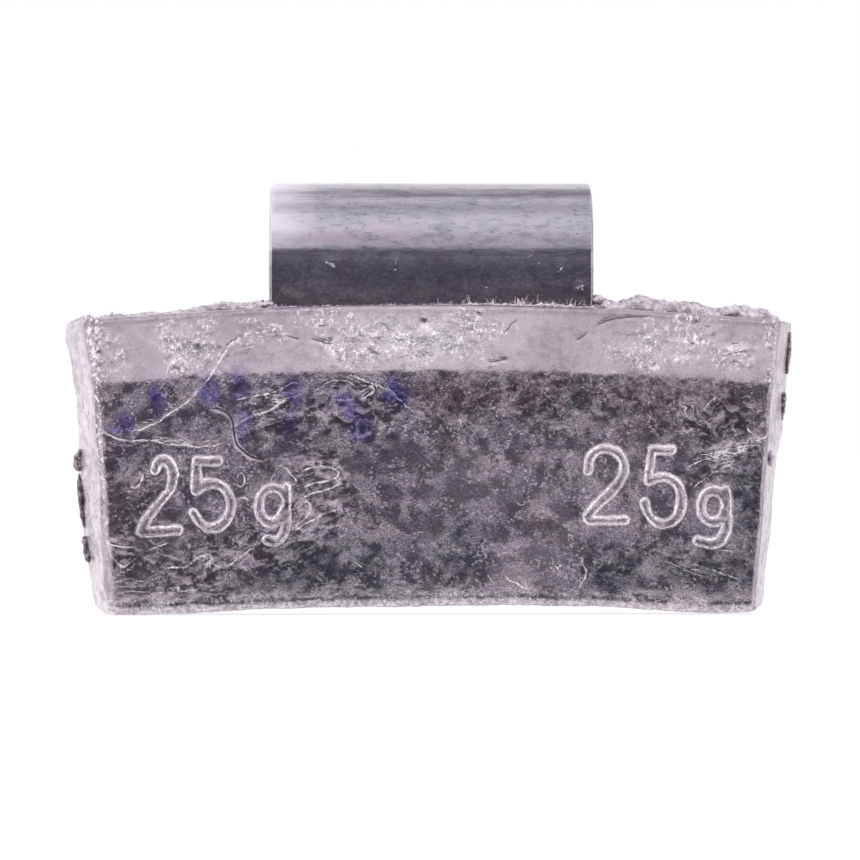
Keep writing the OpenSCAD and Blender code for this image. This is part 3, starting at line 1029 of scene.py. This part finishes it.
def clip_path():
    """Centre line of the strip as (y, z, outward angle), from the tang to the tip."""
    mid = BEND_R + STRIP_T / 2
    steps = [(-mid, z, math.pi) for z in np.linspace(TANG_LOW_Z, 0, 44)[:-1]]
    steps += [(mid * math.cos(a), mid * math.sin(a), a) for a in np.linspace(math.pi, -PINCH, 64)]
    steps += straight_run(steps[-1], REAR_LEG, 9)
    y, z, a = steps[-1]
    flare_mid = FLARE_R + STRIP_T / 2
    hub_y = y + flare_mid * math.cos(a)
    hub_z = z + flare_mid * math.sin(a)
    for b in a + np.linspace(0, PINCH + FLARE, 14)[1:]:
        steps.append((hub_y - flare_mid * math.cos(b), hub_z - flare_mid * math.sin(b), b))
    return steps + straight_run(steps[-1], TIP, 6)


def strip_section():
    """Section of the strip as (across, out) points: a rectangle with eased edges. Half a turn
    takes its outer and right sides to its inner and left ones."""
    half_w, half_t, ease = CLIP_WIDTH / 2, STRIP_T / 2, 0.2
    flat = np.linspace(-half_w + ease, half_w - ease, 76)
    turn = np.linspace(0, math.pi / 2, 5)[1:-1]
    side = np.linspace(-half_t + ease, half_t - ease, 4)
    points = [(x, half_t) for x in flat]
    points += [(half_w - ease + ease * math.sin(t), half_t - ease + ease * math.cos(t)) for t in turn]
    points += [(half_w, -v) for v in side]
    points += [(half_w - ease + ease * math.cos(t), -half_t + ease - ease * math.sin(t)) for t in turn]
    half = np.array(points)
    return np.vstack([half, -half])


# Nicks in the clip's bend: (across, down, radius in mm, depth), and scratches as for the creases
NICKS_Y = -2.6
CLIP_NICKS = [
    (321, 198, 0.10, 0.05), (350, 200, 0.06, 0.05), (560, 198, 0.09, 0.06), (379, 201, 0.06, 0.04),
    (320, 211, 0.08, 0.05), (520, 200, 0.06, 0.05), (460, 202, 0.06, 0.04),
]
SCRATCHES_Y = -4.0
CLIP_SCRATCHES = [
    (0.015, 0.10, [(326, 262), (331, 264), (334, 268)]),
    (0.015, 0.08, [(396, 258), (394, 270)]),
    (0.015, 0.08, [(528, 257), (532, 254)]),
    (0.015, 0.09, [(558, 272), (562, 267)]),
    (-0.03, 0.08, [(520, 198), (515, 208), (511, 216)]),
    (0.015, 0.10, [(576, 289), (580, 284), (588, 288)]),
]


def strip_grid(path):
    """Rings of the strip's section along its path. The first and the last are drawn in."""
    across, out = strip_section().T
    grid = np.array([
        np.stack([across, y + out * math.cos(a), z + out * math.sin(a)], -1) for y, z, a in path
    ])
    for end in (0, -1):
        centre = grid[end].mean(axis=0)
        grid[end] = centre + (grid[end] - centre) * [0.985, 0.8, 0.8]
    return grid


def clip_height(grid, seen):
    """Waviness of the strip, with its nicks and scratches where it is seen from the front."""
    x, z = grid[..., 0], grid[..., 2]
    height = 0.006 * layered(grid * [0.25, 1, 1], 1.2, 201, 3) + 0.012 * noise(grid, 5.0, 205)
    for across, down, radius, depth in CLIP_NICKS:
        cx, cz = on_plane([(across, down)], NICKS_Y)[0]
        height -= seen * depth * np.exp(-(np.hypot(x - cx, z - cz) / radius) ** 2)
    for raised, wide, points in CLIP_SCRATCHES:
        gap = line_distance(x, z, on_plane(points, SCRATCHES_Y))[0]
        height += seen * raised * np.exp(-(gap / wide) ** 2)
    return height


def clip_tone(grid, path, seen):
    """Shares of a band of painted shade high on the bend's front, of the stained foot and of a band of
    painted highlight low on the bend's front, just above the leg.
    """
    z = grid[..., 2]
    turn = np.degrees(np.array([math.pi - a for _, _, a in path]))[:, None] + 0 * z
    bend = smooth(-0.1, 0.1, z) * seen
    # painted shade: a dark band high on the front of the bend
    worn_top = bend * smooth(47, 52, turn) * smooth(66, 61, turn)
    # painted highlight: a band low on the front of the bend
    lit_flank = bend * smooth(1, 6, turn) * smooth(20, 14, turn)
    foot = seen * smooth(-1.6, -2.6, z)
    return np.stack([worn_top, foot, lit_flank], -1)


def make_clip():
    """The steel strip from its tang to its tip."""
    path = clip_path()
    grid = strip_grid(path)
    seen = smooth(0.1, 0.4, np.clip(-grid[..., 1], 0, -CLIP_FRONT_Y) / -CLIP_FRONT_Y)
    height = clip_height(grid, seen)
    shaped = grid + grid_normals(grid, len(grid) // 3) * height[..., None]
    return tube_mesh("clip_strip", [shaped], tone=clip_tone(grid, path, seen))


# Materials

# Places of the outputs of the Texture Coordinate and Light Path nodes
GENERATED_OUTPUT = 0
OBJECT_OUTPUT = 3
CAMERA_RAY_OUTPUT = 0


class Value:
    """Output of a shader node, which sums and products turn into further nodes."""

    def __init__(self, nodes, socket):
        self.nodes = nodes
        self.socket = socket

    def __add__(self, other):
        return self.nodes.math("ADD", self, other)

    def __sub__(self, other):
        return self.nodes.math("SUBTRACT", self, other)

    def __rsub__(self, other):
        return self.nodes.math("SUBTRACT", other, self)

    def __mul__(self, other):
        return self.nodes.math("MULTIPLY", self, other)

    def __or__(self, other):
        """The larger of the two."""
        return self.nodes.math("MAXIMUM", self, other)


class Nodes:
    """A short way to add and link shader nodes."""

    def __init__(self, owner):
        owner.use_nodes = True
        self.tree = owner.node_tree
        self.tree.nodes.clear()

    def add(self, kind, inputs=(), **settings):
        """Adds a node with its settings and inputs, and gives its outputs."""
        node = self.tree.nodes.new(kind)
        for key, value in settings.items():
            setattr(node, key, value)
        for key, value in dict(inputs).items():
            if isinstance(value, Value):
                self.tree.links.new(value.socket, node.inputs[key])
            else:
                node.inputs[key].default_value = value
        return [Value(self, socket) for socket in node.outputs]

    def math(self, operation, a, b=0.0, clamp=False):
        return self.add("ShaderNodeMath", {0: a, 1: b}, operation=operation, use_clamp=clamp)[0]

    def ramp(self, value, a, b, low=0.0, high=1.0):
        """Soft rise from low at a to high at b."""
        return self.add("ShaderNodeMapRange", {
            "Value": value, "From Min": a, "From Max": b, "To Min": low, "To Max": high,
        }, interpolation_type="SMOOTHSTEP")[0]

    def mix(self, share, a, b, blend="MIX"):
        colour_output = 2
        inputs = {0: share, 6: a, 7: b}
        return self.add("ShaderNodeMix", inputs, data_type="RGBA", blend_type=blend)[colour_output]

    def paint(self, colour, coats):
        """The colour under coats of (share, tone), each over the ones before it."""
        for share, tone in coats:
            colour = self.mix(share, colour, tone)
        return colour

    def shares(self, name):
        """The three shares of a mesh's layer."""
        layer = self.add("ShaderNodeVertexColor", layer_name=name)[0]
        return self.add("ShaderNodeSeparateColor", {"Color": layer})

    def noise(self, vector, scale, detail=2.0, rough=0.5, distortion=0.0):
        return self.add("ShaderNodeTexNoise", {
            "Vector": vector, "Scale": scale, "Detail": detail, "Roughness": rough,
            "Distortion": distortion,
        })[0]

    def finish_metal(self, colour, rough, metallic, height, depth):
        """Metal surface with bumps of the given height, one unit of which is depth mm deep."""
        bump = self.add("ShaderNodeBump", {"Strength": 1.0, "Distance": depth * MM, "Height": height})[0]
        shader = self.add("ShaderNodeBsdfPrincipled", {
            "Base Color": colour, "Roughness": rough, "Metallic": metallic, "Normal": bump,
        })[0]
        self.add("ShaderNodeOutputMaterial", {"Surface": shader})


def object_millimetres(n, stretch=(1, 1, 1), tilt=0.0):
    """Object coordinates in millimetres, turned by the tilt about Y and then stretched."""
    at = n.add("ShaderNodeTexCoord")[OBJECT_OUTPUT]
    if tilt:
        at = n.add("ShaderNodeMapping", {"Vector": at, "Rotation": (0, math.radians(tilt), 0)})[0]
    scale = tuple(s / MM for s in stretch)
    return n.add("ShaderNodeMapping", {"Vector": at, "Scale": scale})[0]


# Base colours of the two metals, of what stains them, and of painted highlights and painted shade
LEAD = (0.55, 0.475, 0.545, 1)
LEAD_DARK = (0.26, 0.22, 0.26, 1)
LEAD_BROWN = (0.12, 0.075, 0.09, 1)
LEAD_TEAL = (0.15, 0.18, 0.20, 1)
LEAD_BRIGHT = (0.66, 0.60, 0.66, 1)
LEAD_WHITE = (0.90, 0.86, 0.90, 1)
LEAD_BLACK = (0.045, 0.038, 0.045, 1)
INK_BLUE = (0.19, 0.155, 0.42, 1)
STEEL = (0.375, 0.345, 0.405, 1)
STEEL_DARK = (0.17, 0.15, 0.18, 1)
STEEL_COOL = (0.30, 0.315, 0.365, 1)
STEEL_BROWN = (0.38, 0.28, 0.33, 1)
STEEL_ROSY = (0.45, 0.385, 0.44, 1)
STEEL_BLACK = (0.09, 0.07, 0.08, 1)
STEEL_HIGHLIGHT = (0.70, 0.64, 0.72, 1)

SIDE_REACH = 0.29          # from the middle of a figure's stroke to the foot of its side
LEAD_BUMP = 0.02           # depth of the lead's bumps, in mm
STEEL_BUMP = 0.006


class Lead:
    """Noises and shares that the lead's colour, roughness and bumps are made from."""

    def __init__(self, n):
        at = object_millimetres(n)
        _, depth, _ = n.add("ShaderNodeSeparateXYZ", {"Vector": at})
        self.front = n.ramp(depth, -4.4, -3.4, 1.0, 0.0)
        self.ink, self.brown, self.teal = n.shares("stains")
        self.crumpled, self.end_face, self.bevel = n.shares("wear")
        self.haze, self.seam, self.band = n.shares("marks")
        self.dulled, self.paled, self.granular = n.shares("shades")
        self.cloudy = n.noise(at, 0.45, 3, 0.55)
        self.patchy = n.noise(at, 1.0, 3, 0.6)
        self.mottled = n.noise(at, 1.6, 4, 0.6)
        self.broken = n.noise(at, 2.6, 2, 0.5)
        self.grains = n.noise(at, 3.6, 3, 0.68)
        self.glints = n.noise(at, 5.0, 2, 0.6)
        self.fine = n.noise(at, 8.5, 2, 0.6)
        self.worked_grain = n.ramp(n.noise(at, 0.8, 3, 0.6), 0.38, 0.62, 0.6, 1.45)
        self.bumps = n.noise(object_millimetres(n, (1.8, 1, 1)), 3.8, 3, 0.68)
        self.strokes = n.noise(object_millimetres(n, (1, 1, 0.4), -14), 6.0, 2, 0.55)
        slanted = object_millimetres(n, (0.9, 1, 1), 24)
        self.folds = n.noise(slanted, 1.5, 1, 0.5, 0.6)
        jitter = n.add("ShaderNodeTexNoise", {"Vector": slanted, "Scale": 1.1, "Detail": 1.0})[1]
        shaken = n.mix(0.22, slanted, jitter, "LINEAR_LIGHT")
        self.facets = n.add("ShaderNodeTexVoronoi", {"Vector": shaken, "Scale": 1.35})[0]
        self.trace_lines(n)
        self.calm = n.ramp(self.worked_grain, 0.6, 1.3, 0.38, 0.0)
        # painted shade in the low parts of the folds
        self.shaded_hollows = n.ramp(self.crumpled, 0.15, 0.8) * n.ramp(self.folds, 0.42, 0.54, 1.0, 0.0)
        below_bevel = n.math("SUBTRACT", self.front, self.bevel, True)
        self.calm *= below_bevel
        self.shaded_hollows *= below_bevel
        self.brown *= n.ramp(self.grains, 0.42, 0.58, 0.95, 0.10)
        self.teal *= n.ramp(self.mottled, 0.36, 0.60, 0.95, 0.25)
        self.ink *= n.ramp(self.grains, 0.40, 0.60, 1.0, 0.70)

    def trace_lines(self, n):
        """Shares for the sides of the figures and the lines along the creases, painted white as painted
        highlights, and for the cracks, painted dark as painted shade, from the distances in the mesh.
        """
        line_place, line_strength, figure_gap = n.shares("lines")
        groove_place, groove_strength, groove_width = n.shares("grooves")
        wobble = (self.grains - 0.5) * 0.10
        figure = figure_gap + wobble
        self.on_figure = n.ramp(figure, SIDE_REACH - 0.06, SIDE_REACH + 0.03, 1.0, 0.0)
        # sloped sides of the figures, painted white below as a painted highlight
        self.side = self.on_figure * n.ramp(figure, SIDE_REACH - 0.17, SIDE_REACH - 0.07)
        width = n.ramp(self.broken, 0.35, 0.65, 0.018, 0.12)
        gap = n.math("ABSOLUTE", (line_place - 0.5) * (2 * LINE_REACH) + wobble * 0.6)
        shown = line_strength * n.ramp(self.grains, 0.38, 0.52, 0.25, 1.0)
        # thin line along each crease, painted white below as a painted highlight
        self.crease = n.ramp(gap, 0.0, width, 1.0, 0.0) * shown
        gap = n.math("ABSOLUTE", (groove_place - 0.5) * (2 * LINE_REACH) + wobble * 0.25)
        # painted shade along the grooves
        self.crack_shade = n.ramp(gap, 0.0, groove_width * (1.1 * WIDEST_LINE), 1.0, 0.0) * groove_strength


def lead_base(n, lead):
    """Plain lead, clouded and speckled, with its band, dull, pale and grimy places, painted shade in the
    low parts of the folds, and a line of painted shade along the top edge.
    """
    deepest = n.ramp(lead.front, 0.0, 1.0, 0.35, 0.60)
    paled = lead.paled * n.ramp(lead.mottled, 0.40, 0.60, 0.95, 0.45)
    paled |= lead.end_face * n.ramp(lead.patchy, 0.42, 0.60, 0.20, 0.55)
    return n.paint(LEAD, [
        (n.ramp(lead.cloudy, 0.36, 0.68, 0.0, 0.30), LEAD_DARK),
        ((1.0 - lead.front) * n.ramp(lead.grains, 0.34, 0.70, 0.05, 0.42), LEAD_DARK),
        (lead.calm, LEAD_DARK),
        # painted shade in the low parts of the folds
        (lead.shaded_hollows, LEAD_DARK),
        (lead.front * n.ramp(lead.mottled, 0.52, 0.68, 0.0, 0.30), LEAD_DARK),
        (n.ramp(lead.fine, 0.56, 0.70, 0.0, deepest), LEAD_DARK),
        (lead.band * n.ramp(lead.grains, 0.40, 0.56, 0.40, 0.0), LEAD_WHITE),
        (lead.band * n.ramp(lead.grains, 0.50, 0.64, 0.0, 0.45), LEAD_DARK),
        # painted shade along the top edge
        (lead.seam * n.ramp(lead.mottled, 0.40, 0.60, 0.85, 0.35), LEAD_DARK),
        (lead.dulled * n.ramp(lead.mottled, 0.40, 0.60, 0.15, 0.50), LEAD_DARK),
        (paled, LEAD_BRIGHT),
        (lead.end_face * n.ramp(lead.mottled, 0.46, 0.62, 0.0, 0.38), LEAD_DARK),
    ])


def lead_sparks(n, lead):
    """Shares of painted shade in the pits and of white painted glints, where the bevel or an end is
    crumpled.
    """
    worked = n.ramp(lead.crumpled, 0.1, 0.6) * n.ramp(lead.patchy, 0.40, 0.56, 0.2, 1.0)
    # painted shade: dark specks between the glints
    pit_shade = worked * lead.bevel * n.ramp(lead.glints, 0.34, 0.42, 0.5, 0.0)
    pit_shade |= lead.granular * n.ramp(lead.glints, 0.40, 0.52, 0.55, 0.0)
    # painted glints: white sparks on the bevel and the left rounding
    spark = n.ramp(lead.glints, 0.57, 0.63) | n.ramp(lead.strokes, 0.58, 0.64)
    spark *= lead.bevel * (worked * 0.95)
    spark |= lead.granular * n.ramp(lead.glints, 0.54, 0.62)
    spark |= n.ramp(lead.fine, 0.70, 0.76, 0.0, 0.6) * lead.bevel
    return pit_shade, spark


def lead_marks(n, lead, colour):
    """The colour with its stains, painted highlights on the sides of the figures and along the creases,
    painted glints, and painted shade in the pits and the cracks.
    """
    # painted highlight on the figures' sides
    side = lead.side * n.ramp(lead.grains, 0.38, 0.54, 0.25, 1.0)
    side *= n.ramp(lead.patchy, 0.40, 0.54, 0.45, 1.0)
    clear = 1.0 - (lead.brown | lead.ink)
    pit_shade, spark = lead_sparks(n, lead)
    return n.paint(colour, [
        (lead.brown, LEAD_BROWN),
        (lead.teal, LEAD_TEAL),
        (lead.ink, INK_BLUE),
        # painted highlights: white along the creases and the sides of the figures
        ((lead.crease * 0.9 | side) * clear, LEAD_WHITE),
        (lead.on_figure * n.ramp(lead.fine, 0.46, 0.60, 0.0, 0.45), LEAD_DARK),
        # painted shade between the glints, then the painted glints
        (pit_shade, LEAD_DARK),
        (spark, LEAD_WHITE),
        # painted shade: the grooves near black
        (lead.crack_shade * 0.85, LEAD_BLACK),
    ])


def lead_grain(n, lead):
    """Height of the fine grain, which is stronger where the lead is crumpled or stained."""
    grainy = lead.on_figure | lead.crumpled | lead.brown * 1.3
    grainy |= (lead.band | lead.teal) * 1.1
    grainy |= n.ramp(lead.cloudy, 0.40, 0.62, 0.65, 1.0) * n.ramp(lead.bevel, 0.0, 1.0, 1.0, 0.4)
    grainy *= n.ramp(lead.on_figure, 0.0, 1.0, lead.worked_grain, 1.0)
    grainy *= n.ramp(lead.shaded_hollows, 0.0, 1.0, 1.0, 0.45)
    return ((lead.bumps - 0.5) * 1.9 + (lead.fine - 0.5) * 1.1) * grainy


def lead_height(n, lead):
    """Height of the grain, the bright dots, the folds and facets, the creases and the figures."""
    dots = n.ramp(lead.glints, 0.57, 0.66) * n.ramp(lead.brown, 0.0, 0.6, 0.65, 1.3)
    dots *= n.ramp(lead.patchy | lead.brown * 0.9, 0.47, 0.58)
    dots *= n.ramp(lead.bevel | lead.end_face, 0.0, 1.0, 1.0, 0.15)
    folded = n.ramp(lead.crumpled, 0.1, 0.9, 0.0, 1.0)
    cells = folded * n.ramp(lead.patchy, 0.38, 0.58, 0.8, 5.0)
    cells *= n.ramp(lead.bevel, 0.0, 1.0, 1.0, 0.45)
    height = lead_grain(n, lead) + dots
    height += (lead.folds - 0.5) * (folded * 1.6)
    height += (lead.facets - 0.45) * cells
    return height + lead.crease * 1.3 + lead.side * 0.5


def lead_material():
    """Cast lead: its marks read the shares that are kept in the mesh's layers."""
    material = bpy.data.materials.new("cast_lead")
    n = Nodes(material)
    lead = Lead(n)
    colour = lead_marks(n, lead, lead_base(n, lead))
    rough = n.ramp(lead.mottled, 0.35, 0.7, 0.16, 0.26) + (lead.brown | lead.on_figure) * 0.06
    bloom = lead.haze * n.ramp(lead.mottled, 0.38, 0.62, 1.0, 0.45)
    metallic = n.ramp(bloom, 0.0, 1.0, 1.0, 0.80)
    n.finish_metal(colour, rough, metallic, lead_height(n, lead), LEAD_BUMP)
    return material


# Bright nicks on the clip's leg: (across, down, half-length and half-width in pixels, tilt,
# strength)
LEG_NICKS = [
    (329, 263.5, 4.6, 1.0, -22, 0.9), (333.5, 265.5, 2.2, 1.6, -60, 0.8), (396, 261, 4, 0.6, 75, 0.5),
    (395, 269.5, 1.2, 0.8, 0, 0.9), (560, 270, 2.8, 0.9, 50, 1.0), (530.5, 256, 2.8, 0.7, 30, 0.6),
    (579.5, 287, 4.4, 1.4, 20, 0.7), (583, 290, 2.6, 1.0, -50, 0.6), (486.5, 287, 0.9, 0.8, 0, 0.6),
    (538, 263, 1.3, 0.7, -20, 0.6), (289, 292, 9, 4.5, -15, 0.16), (300, 295, 5, 3, 10, 0.14),
]


def nick_share(n, x, z, wobble):
    """Share of the nicks at a place on the clip's leg: thin ellipses with an uneven edge."""
    total = 0.0
    for across, down, long, wide, tilt, strength in LEG_NICKS:
        cx, cz = on_plane([(across, down)], CLIP_FRONT_Y)[0]
        cos, sin = math.cos(math.radians(tilt)), math.sin(math.radians(tilt))
        dx, dz = x - cx, z - cz
        long, wide = long * PIXEL_AT_AIM, wide * PIXEL_AT_AIM
        u = dx * (cos / long) + dz * (sin / long)
        v = dz * (cos / wide) - dx * (sin / wide)
        total = n.ramp(u * u + v * v + wobble, 0.3, 1.3, strength, 0.0) | total
    return total


class Steel:
    """Noises and shares that the clip's colour, roughness and bumps are made from."""

    def __init__(self, n):
        at = object_millimetres(n)
        drawn = object_millimetres(n, (0.12, 1, 1))
        smeared = object_millimetres(n, (0.45, 1, 1))
        self.x, depth, self.level = n.add("ShaderNodeSeparateXYZ", {"Vector": at})
        self.leg = n.ramp(self.level, -0.5, 0.2, 1.0, 0.0) * n.ramp(depth, -1.0, 1.0, 1.0, 0.0)
        self.worn_top, self.foot, self.lit_flank = n.shares("tone")
        self.streaks = n.noise(drawn, 2.2, 4, 0.62)
        self.fine_streaks = n.noise(drawn, 6.0, 3, 0.6)
        self.clouds = n.noise(at, 0.7, 3, 0.55)
        self.mottled = n.noise(smeared, 2.4, 4, 0.66)
        self.specks = n.noise(smeared, 6.5, 4, 0.7)
        self.even = n.noise(at, 4.5, 4, 0.66)
        grains = n.noise(at, 9.0, 2, 0.6)
        nicks = nick_share(n, self.x, self.level, (grains - 0.5) * 5.0)
        self.nicks = nicks * self.leg * n.ramp(grains, 0.40, 0.56, 1.0, 0.25)


def steel_base(n, steel):
    """Drawn steel with clouds and streaks, painted shade in a band high on the bend's front, darker
    streaks along its very top, a rosy painted highlight low on the bend's front, and brown at the foot.
    """
    return n.paint(STEEL, [
        (n.ramp(steel.clouds, 0.40, 0.60, 0.0, 0.7), STEEL_COOL),
        (n.ramp(steel.mottled, 0.50, 0.66, 0.0, 0.40), STEEL_DARK),
        (n.ramp(steel.streaks, 0.50, 0.64, 0.0, 0.40), STEEL_ROSY),
        (n.ramp(steel.fine_streaks, 0.56, 0.68, 0.0, 0.40), STEEL_DARK),
        # painted shade: the dark band high on the bend's front
        (steel.worn_top * n.ramp(steel.streaks, 0.38, 0.56, 0.50, 1.0), STEEL_DARK),
        (n.ramp(steel.level, 3.35, 3.95) * n.ramp(steel.streaks, 0.40, 0.60, 0.05, 0.35), STEEL_DARK),
        # painted highlight: the rosy band low on the bend's front, just above the leg
        (steel.lit_flank * n.ramp(steel.mottled, 0.40, 0.60, 0.8, 0.1), STEEL_ROSY),
        (steel.foot * n.ramp(steel.clouds, 0.4, 0.6, 0.25, 0.75), STEEL_BROWN),
    ])


def steel_marks(n, steel, colour):
    """The colour with black specks, painted shade on the leg, a painted highlight at the left end and on
    the leg just below the bend, and the bright nicks.
    """
    speck = steel.specks + steel.worn_top * 0.05 - steel.leg * 0.01
    speck += n.ramp(steel.clouds, 0.40, 0.60, -0.03, 0.03)
    # painted highlight: lighter towards the clip's left end, and on the leg just below the bend
    painted_highlight = n.ramp(steel.x + steel.streaks * 3.0, -8.6, -3.8, 0.75, 0.0)
    painted_highlight *= n.ramp(steel.leg, 0.0, 1.0, 1.0, 0.0)
    painted_highlight |= steel.leg * n.ramp(steel.level, -1.3, 0.0, 0.0, 0.45)
    return n.paint(colour, [
        (n.ramp(speck, 0.58, 0.70, 0.0, 0.65), STEEL_BLACK),
        # painted shade: the leg darker, in patches
        (steel.leg * n.ramp(steel.even, 0.38, 0.62, 0.50, 0.0), STEEL_DARK),
        (painted_highlight, STEEL_HIGHLIGHT),
        (steel.nicks, LEAD_WHITE),
    ])


def steel_material():
    """Spring steel, drawn along the clip's width."""
    material = bpy.data.materials.new("clip_steel")
    n = Nodes(material)
    steel = Steel(n)
    colour = steel_marks(n, steel, steel_base(n, steel))
    rough = n.ramp(steel.clouds, 0.35, 0.68, 0.14, 0.20) + steel.nicks * 0.5
    height = steel.fine_streaks * 0.6 + steel.mottled * 0.8
    height *= n.ramp(steel.leg, 0.0, 1.0, 1.0, 0.15)
    height += (steel.even - 0.5) * (steel.leg * 0.7)
    n.finish_metal(colour, rough, 1.0, height, STEEL_BUMP)
    return material


# Camera, world and floor

def make_camera():
    """Camera that sees the object as the photograph does."""
    data = bpy.data.cameras.new("camera")
    reach = float(np.linalg.norm(CAMERA_AIM - CAMERA_AT))
    data.angle = 2 * math.atan(PICTURE_PIXELS * PIXEL_AT_AIM / 2 / reach)
    data.clip_start = 0.01
    data.clip_end = 20.0
    camera = bpy.data.objects.new("camera", data)
    bpy.context.scene.collection.objects.link(camera)
    camera.location = Vector(CAMERA_AT * MM)
    aim = Vector((CAMERA_AIM - CAMERA_AT).tolist())
    camera.rotation_euler = aim.to_track_quat("-Z", "Y").to_euler()
    bpy.context.scene.camera = camera


def make_world():
    """White studio: plain white for the camera; for the object bright sides and top, and a darker
    patch level with the face, where the camera and the room stood, with a weaker one behind."""
    world = bpy.data.worlds.new("studio")
    bpy.context.scene.world = world
    n = Nodes(world)
    direction = n.add("ShaderNodeTexCoord")[GENERATED_OUTPUT]
    x, y, z = n.add("ShaderNodeSeparateXYZ", {"Vector": direction})
    degrees = 180 / math.pi
    height = n.math("ARCSINE", z) * degrees
    side = n.math("ABSOLUTE", n.math("ARCTAN2", x, y * -1.0) * degrees)
    dark = n.ramp(height, 3.0, 9.0, 1.0, 0.0) * n.ramp(height, -36.0, -26.0)
    dark *= n.ramp(side, 24.0, 32.0, 1.0, 0.0)
    behind = n.ramp(side, 158.0, 168.0) * n.ramp(height, 6.0, 16.0, 1.0, 0.0)
    boxes = n.ramp(side, 34.0, 44.0) * n.ramp(side, 70.0, 84.0, 1.0, 0.0)
    backdrop = n.ramp(side, 104.0, 116.0) * n.ramp(x, -0.2, 0.2, 1.0, 0.45)
    roof = n.ramp(height, 22.0, 44.0) * n.ramp(height, 52.0, 80.0, 1.0, 0.0)
    light = (boxes | backdrop | roof) * 0.5 + 0.95
    light *= 1.0 - dark * 0.855
    light *= 1.0 - behind * 0.25
    camera_ray = n.add("ShaderNodeLightPath")[CAMERA_RAY_OUTPUT]
    strength = n.add("ShaderNodeMix", {0: camera_ray, 2: light, 3: 1.0})[0]
    tint = n.mix(dark * (1.0 - camera_ray), (1, 1, 1, 1), (0.97, 0.95, 1.12, 1))
    back = n.add("ShaderNodeBackground", {"Color": tint, "Strength": strength})[0]
    n.add("ShaderNodeOutputWorld", {"Surface": back})


def make_floor():
    """Pale floor: for the camera its own colour is lifted to white, and the shadow stays."""
    half = 3000.0
    mesh = bpy.data.meshes.new("floor")
    corners = [(-half, -half), (half, -half), (half, half), (-half, half)]
    mesh.from_pydata([(x * MM, y * MM, FLOOR_Z * MM) for x, y in corners], [], [(0, 1, 2, 3)])
    floor = bpy.data.objects.new("floor", mesh)
    bpy.context.scene.collection.objects.link(floor)
    material = bpy.data.materials.new("floor")
    n = Nodes(material)
    camera_ray = n.add("ShaderNodeLightPath")[CAMERA_RAY_OUTPUT]
    plain = n.add("ShaderNodeBsdfDiffuse", {"Color": (0.8, 0.8, 0.8, 1)})[0]
    seen = n.add("ShaderNodeBsdfDiffuse", {"Color": (0.42, 0.42, 0.42, 1)})[0]
    glow = n.add("ShaderNodeEmission", {"Color": (1, 1, 1, 1), "Strength": 0.66})[0]
    lifted = n.add("ShaderNodeAddShader", {0: seen, 1: glow})[0]
    shader = n.add("ShaderNodeMixShader", {0: camera_ray, 1: plain, 2: lifted})[0]
    n.add("ShaderNodeOutputMaterial", {"Surface": shader})
    mesh.materials.append(material)
    floor.visible_glossy = False


# Putting it together

def finish_piece(piece, material):
    """Gives a piece its material, and its body, keeping its place in the frame."""
    piece.data.materials.append(material)
    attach(piece, "root")


make_camera()
make_world()
make_floor()
lead = lead_material()
steel = steel_material()

casting = make_casting()
finish_piece(casting, lead)
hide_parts("lead_casting")
lead_pieces = [
    make_flash("flash_left", LEFT_FLASH, 131),
    make_flash("flash_right", RIGHT_FLASH, 136),
    make_fringe(),
    make_hairs(),
]
for piece in lead_pieces + make_lumps() + make_burrs():
    finish_piece(piece, lead)

clip = make_clip()
finish_piece(clip, steel)
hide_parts("spring_clip")

bpy.context.scene.view_settings.view_transform = "Standard"
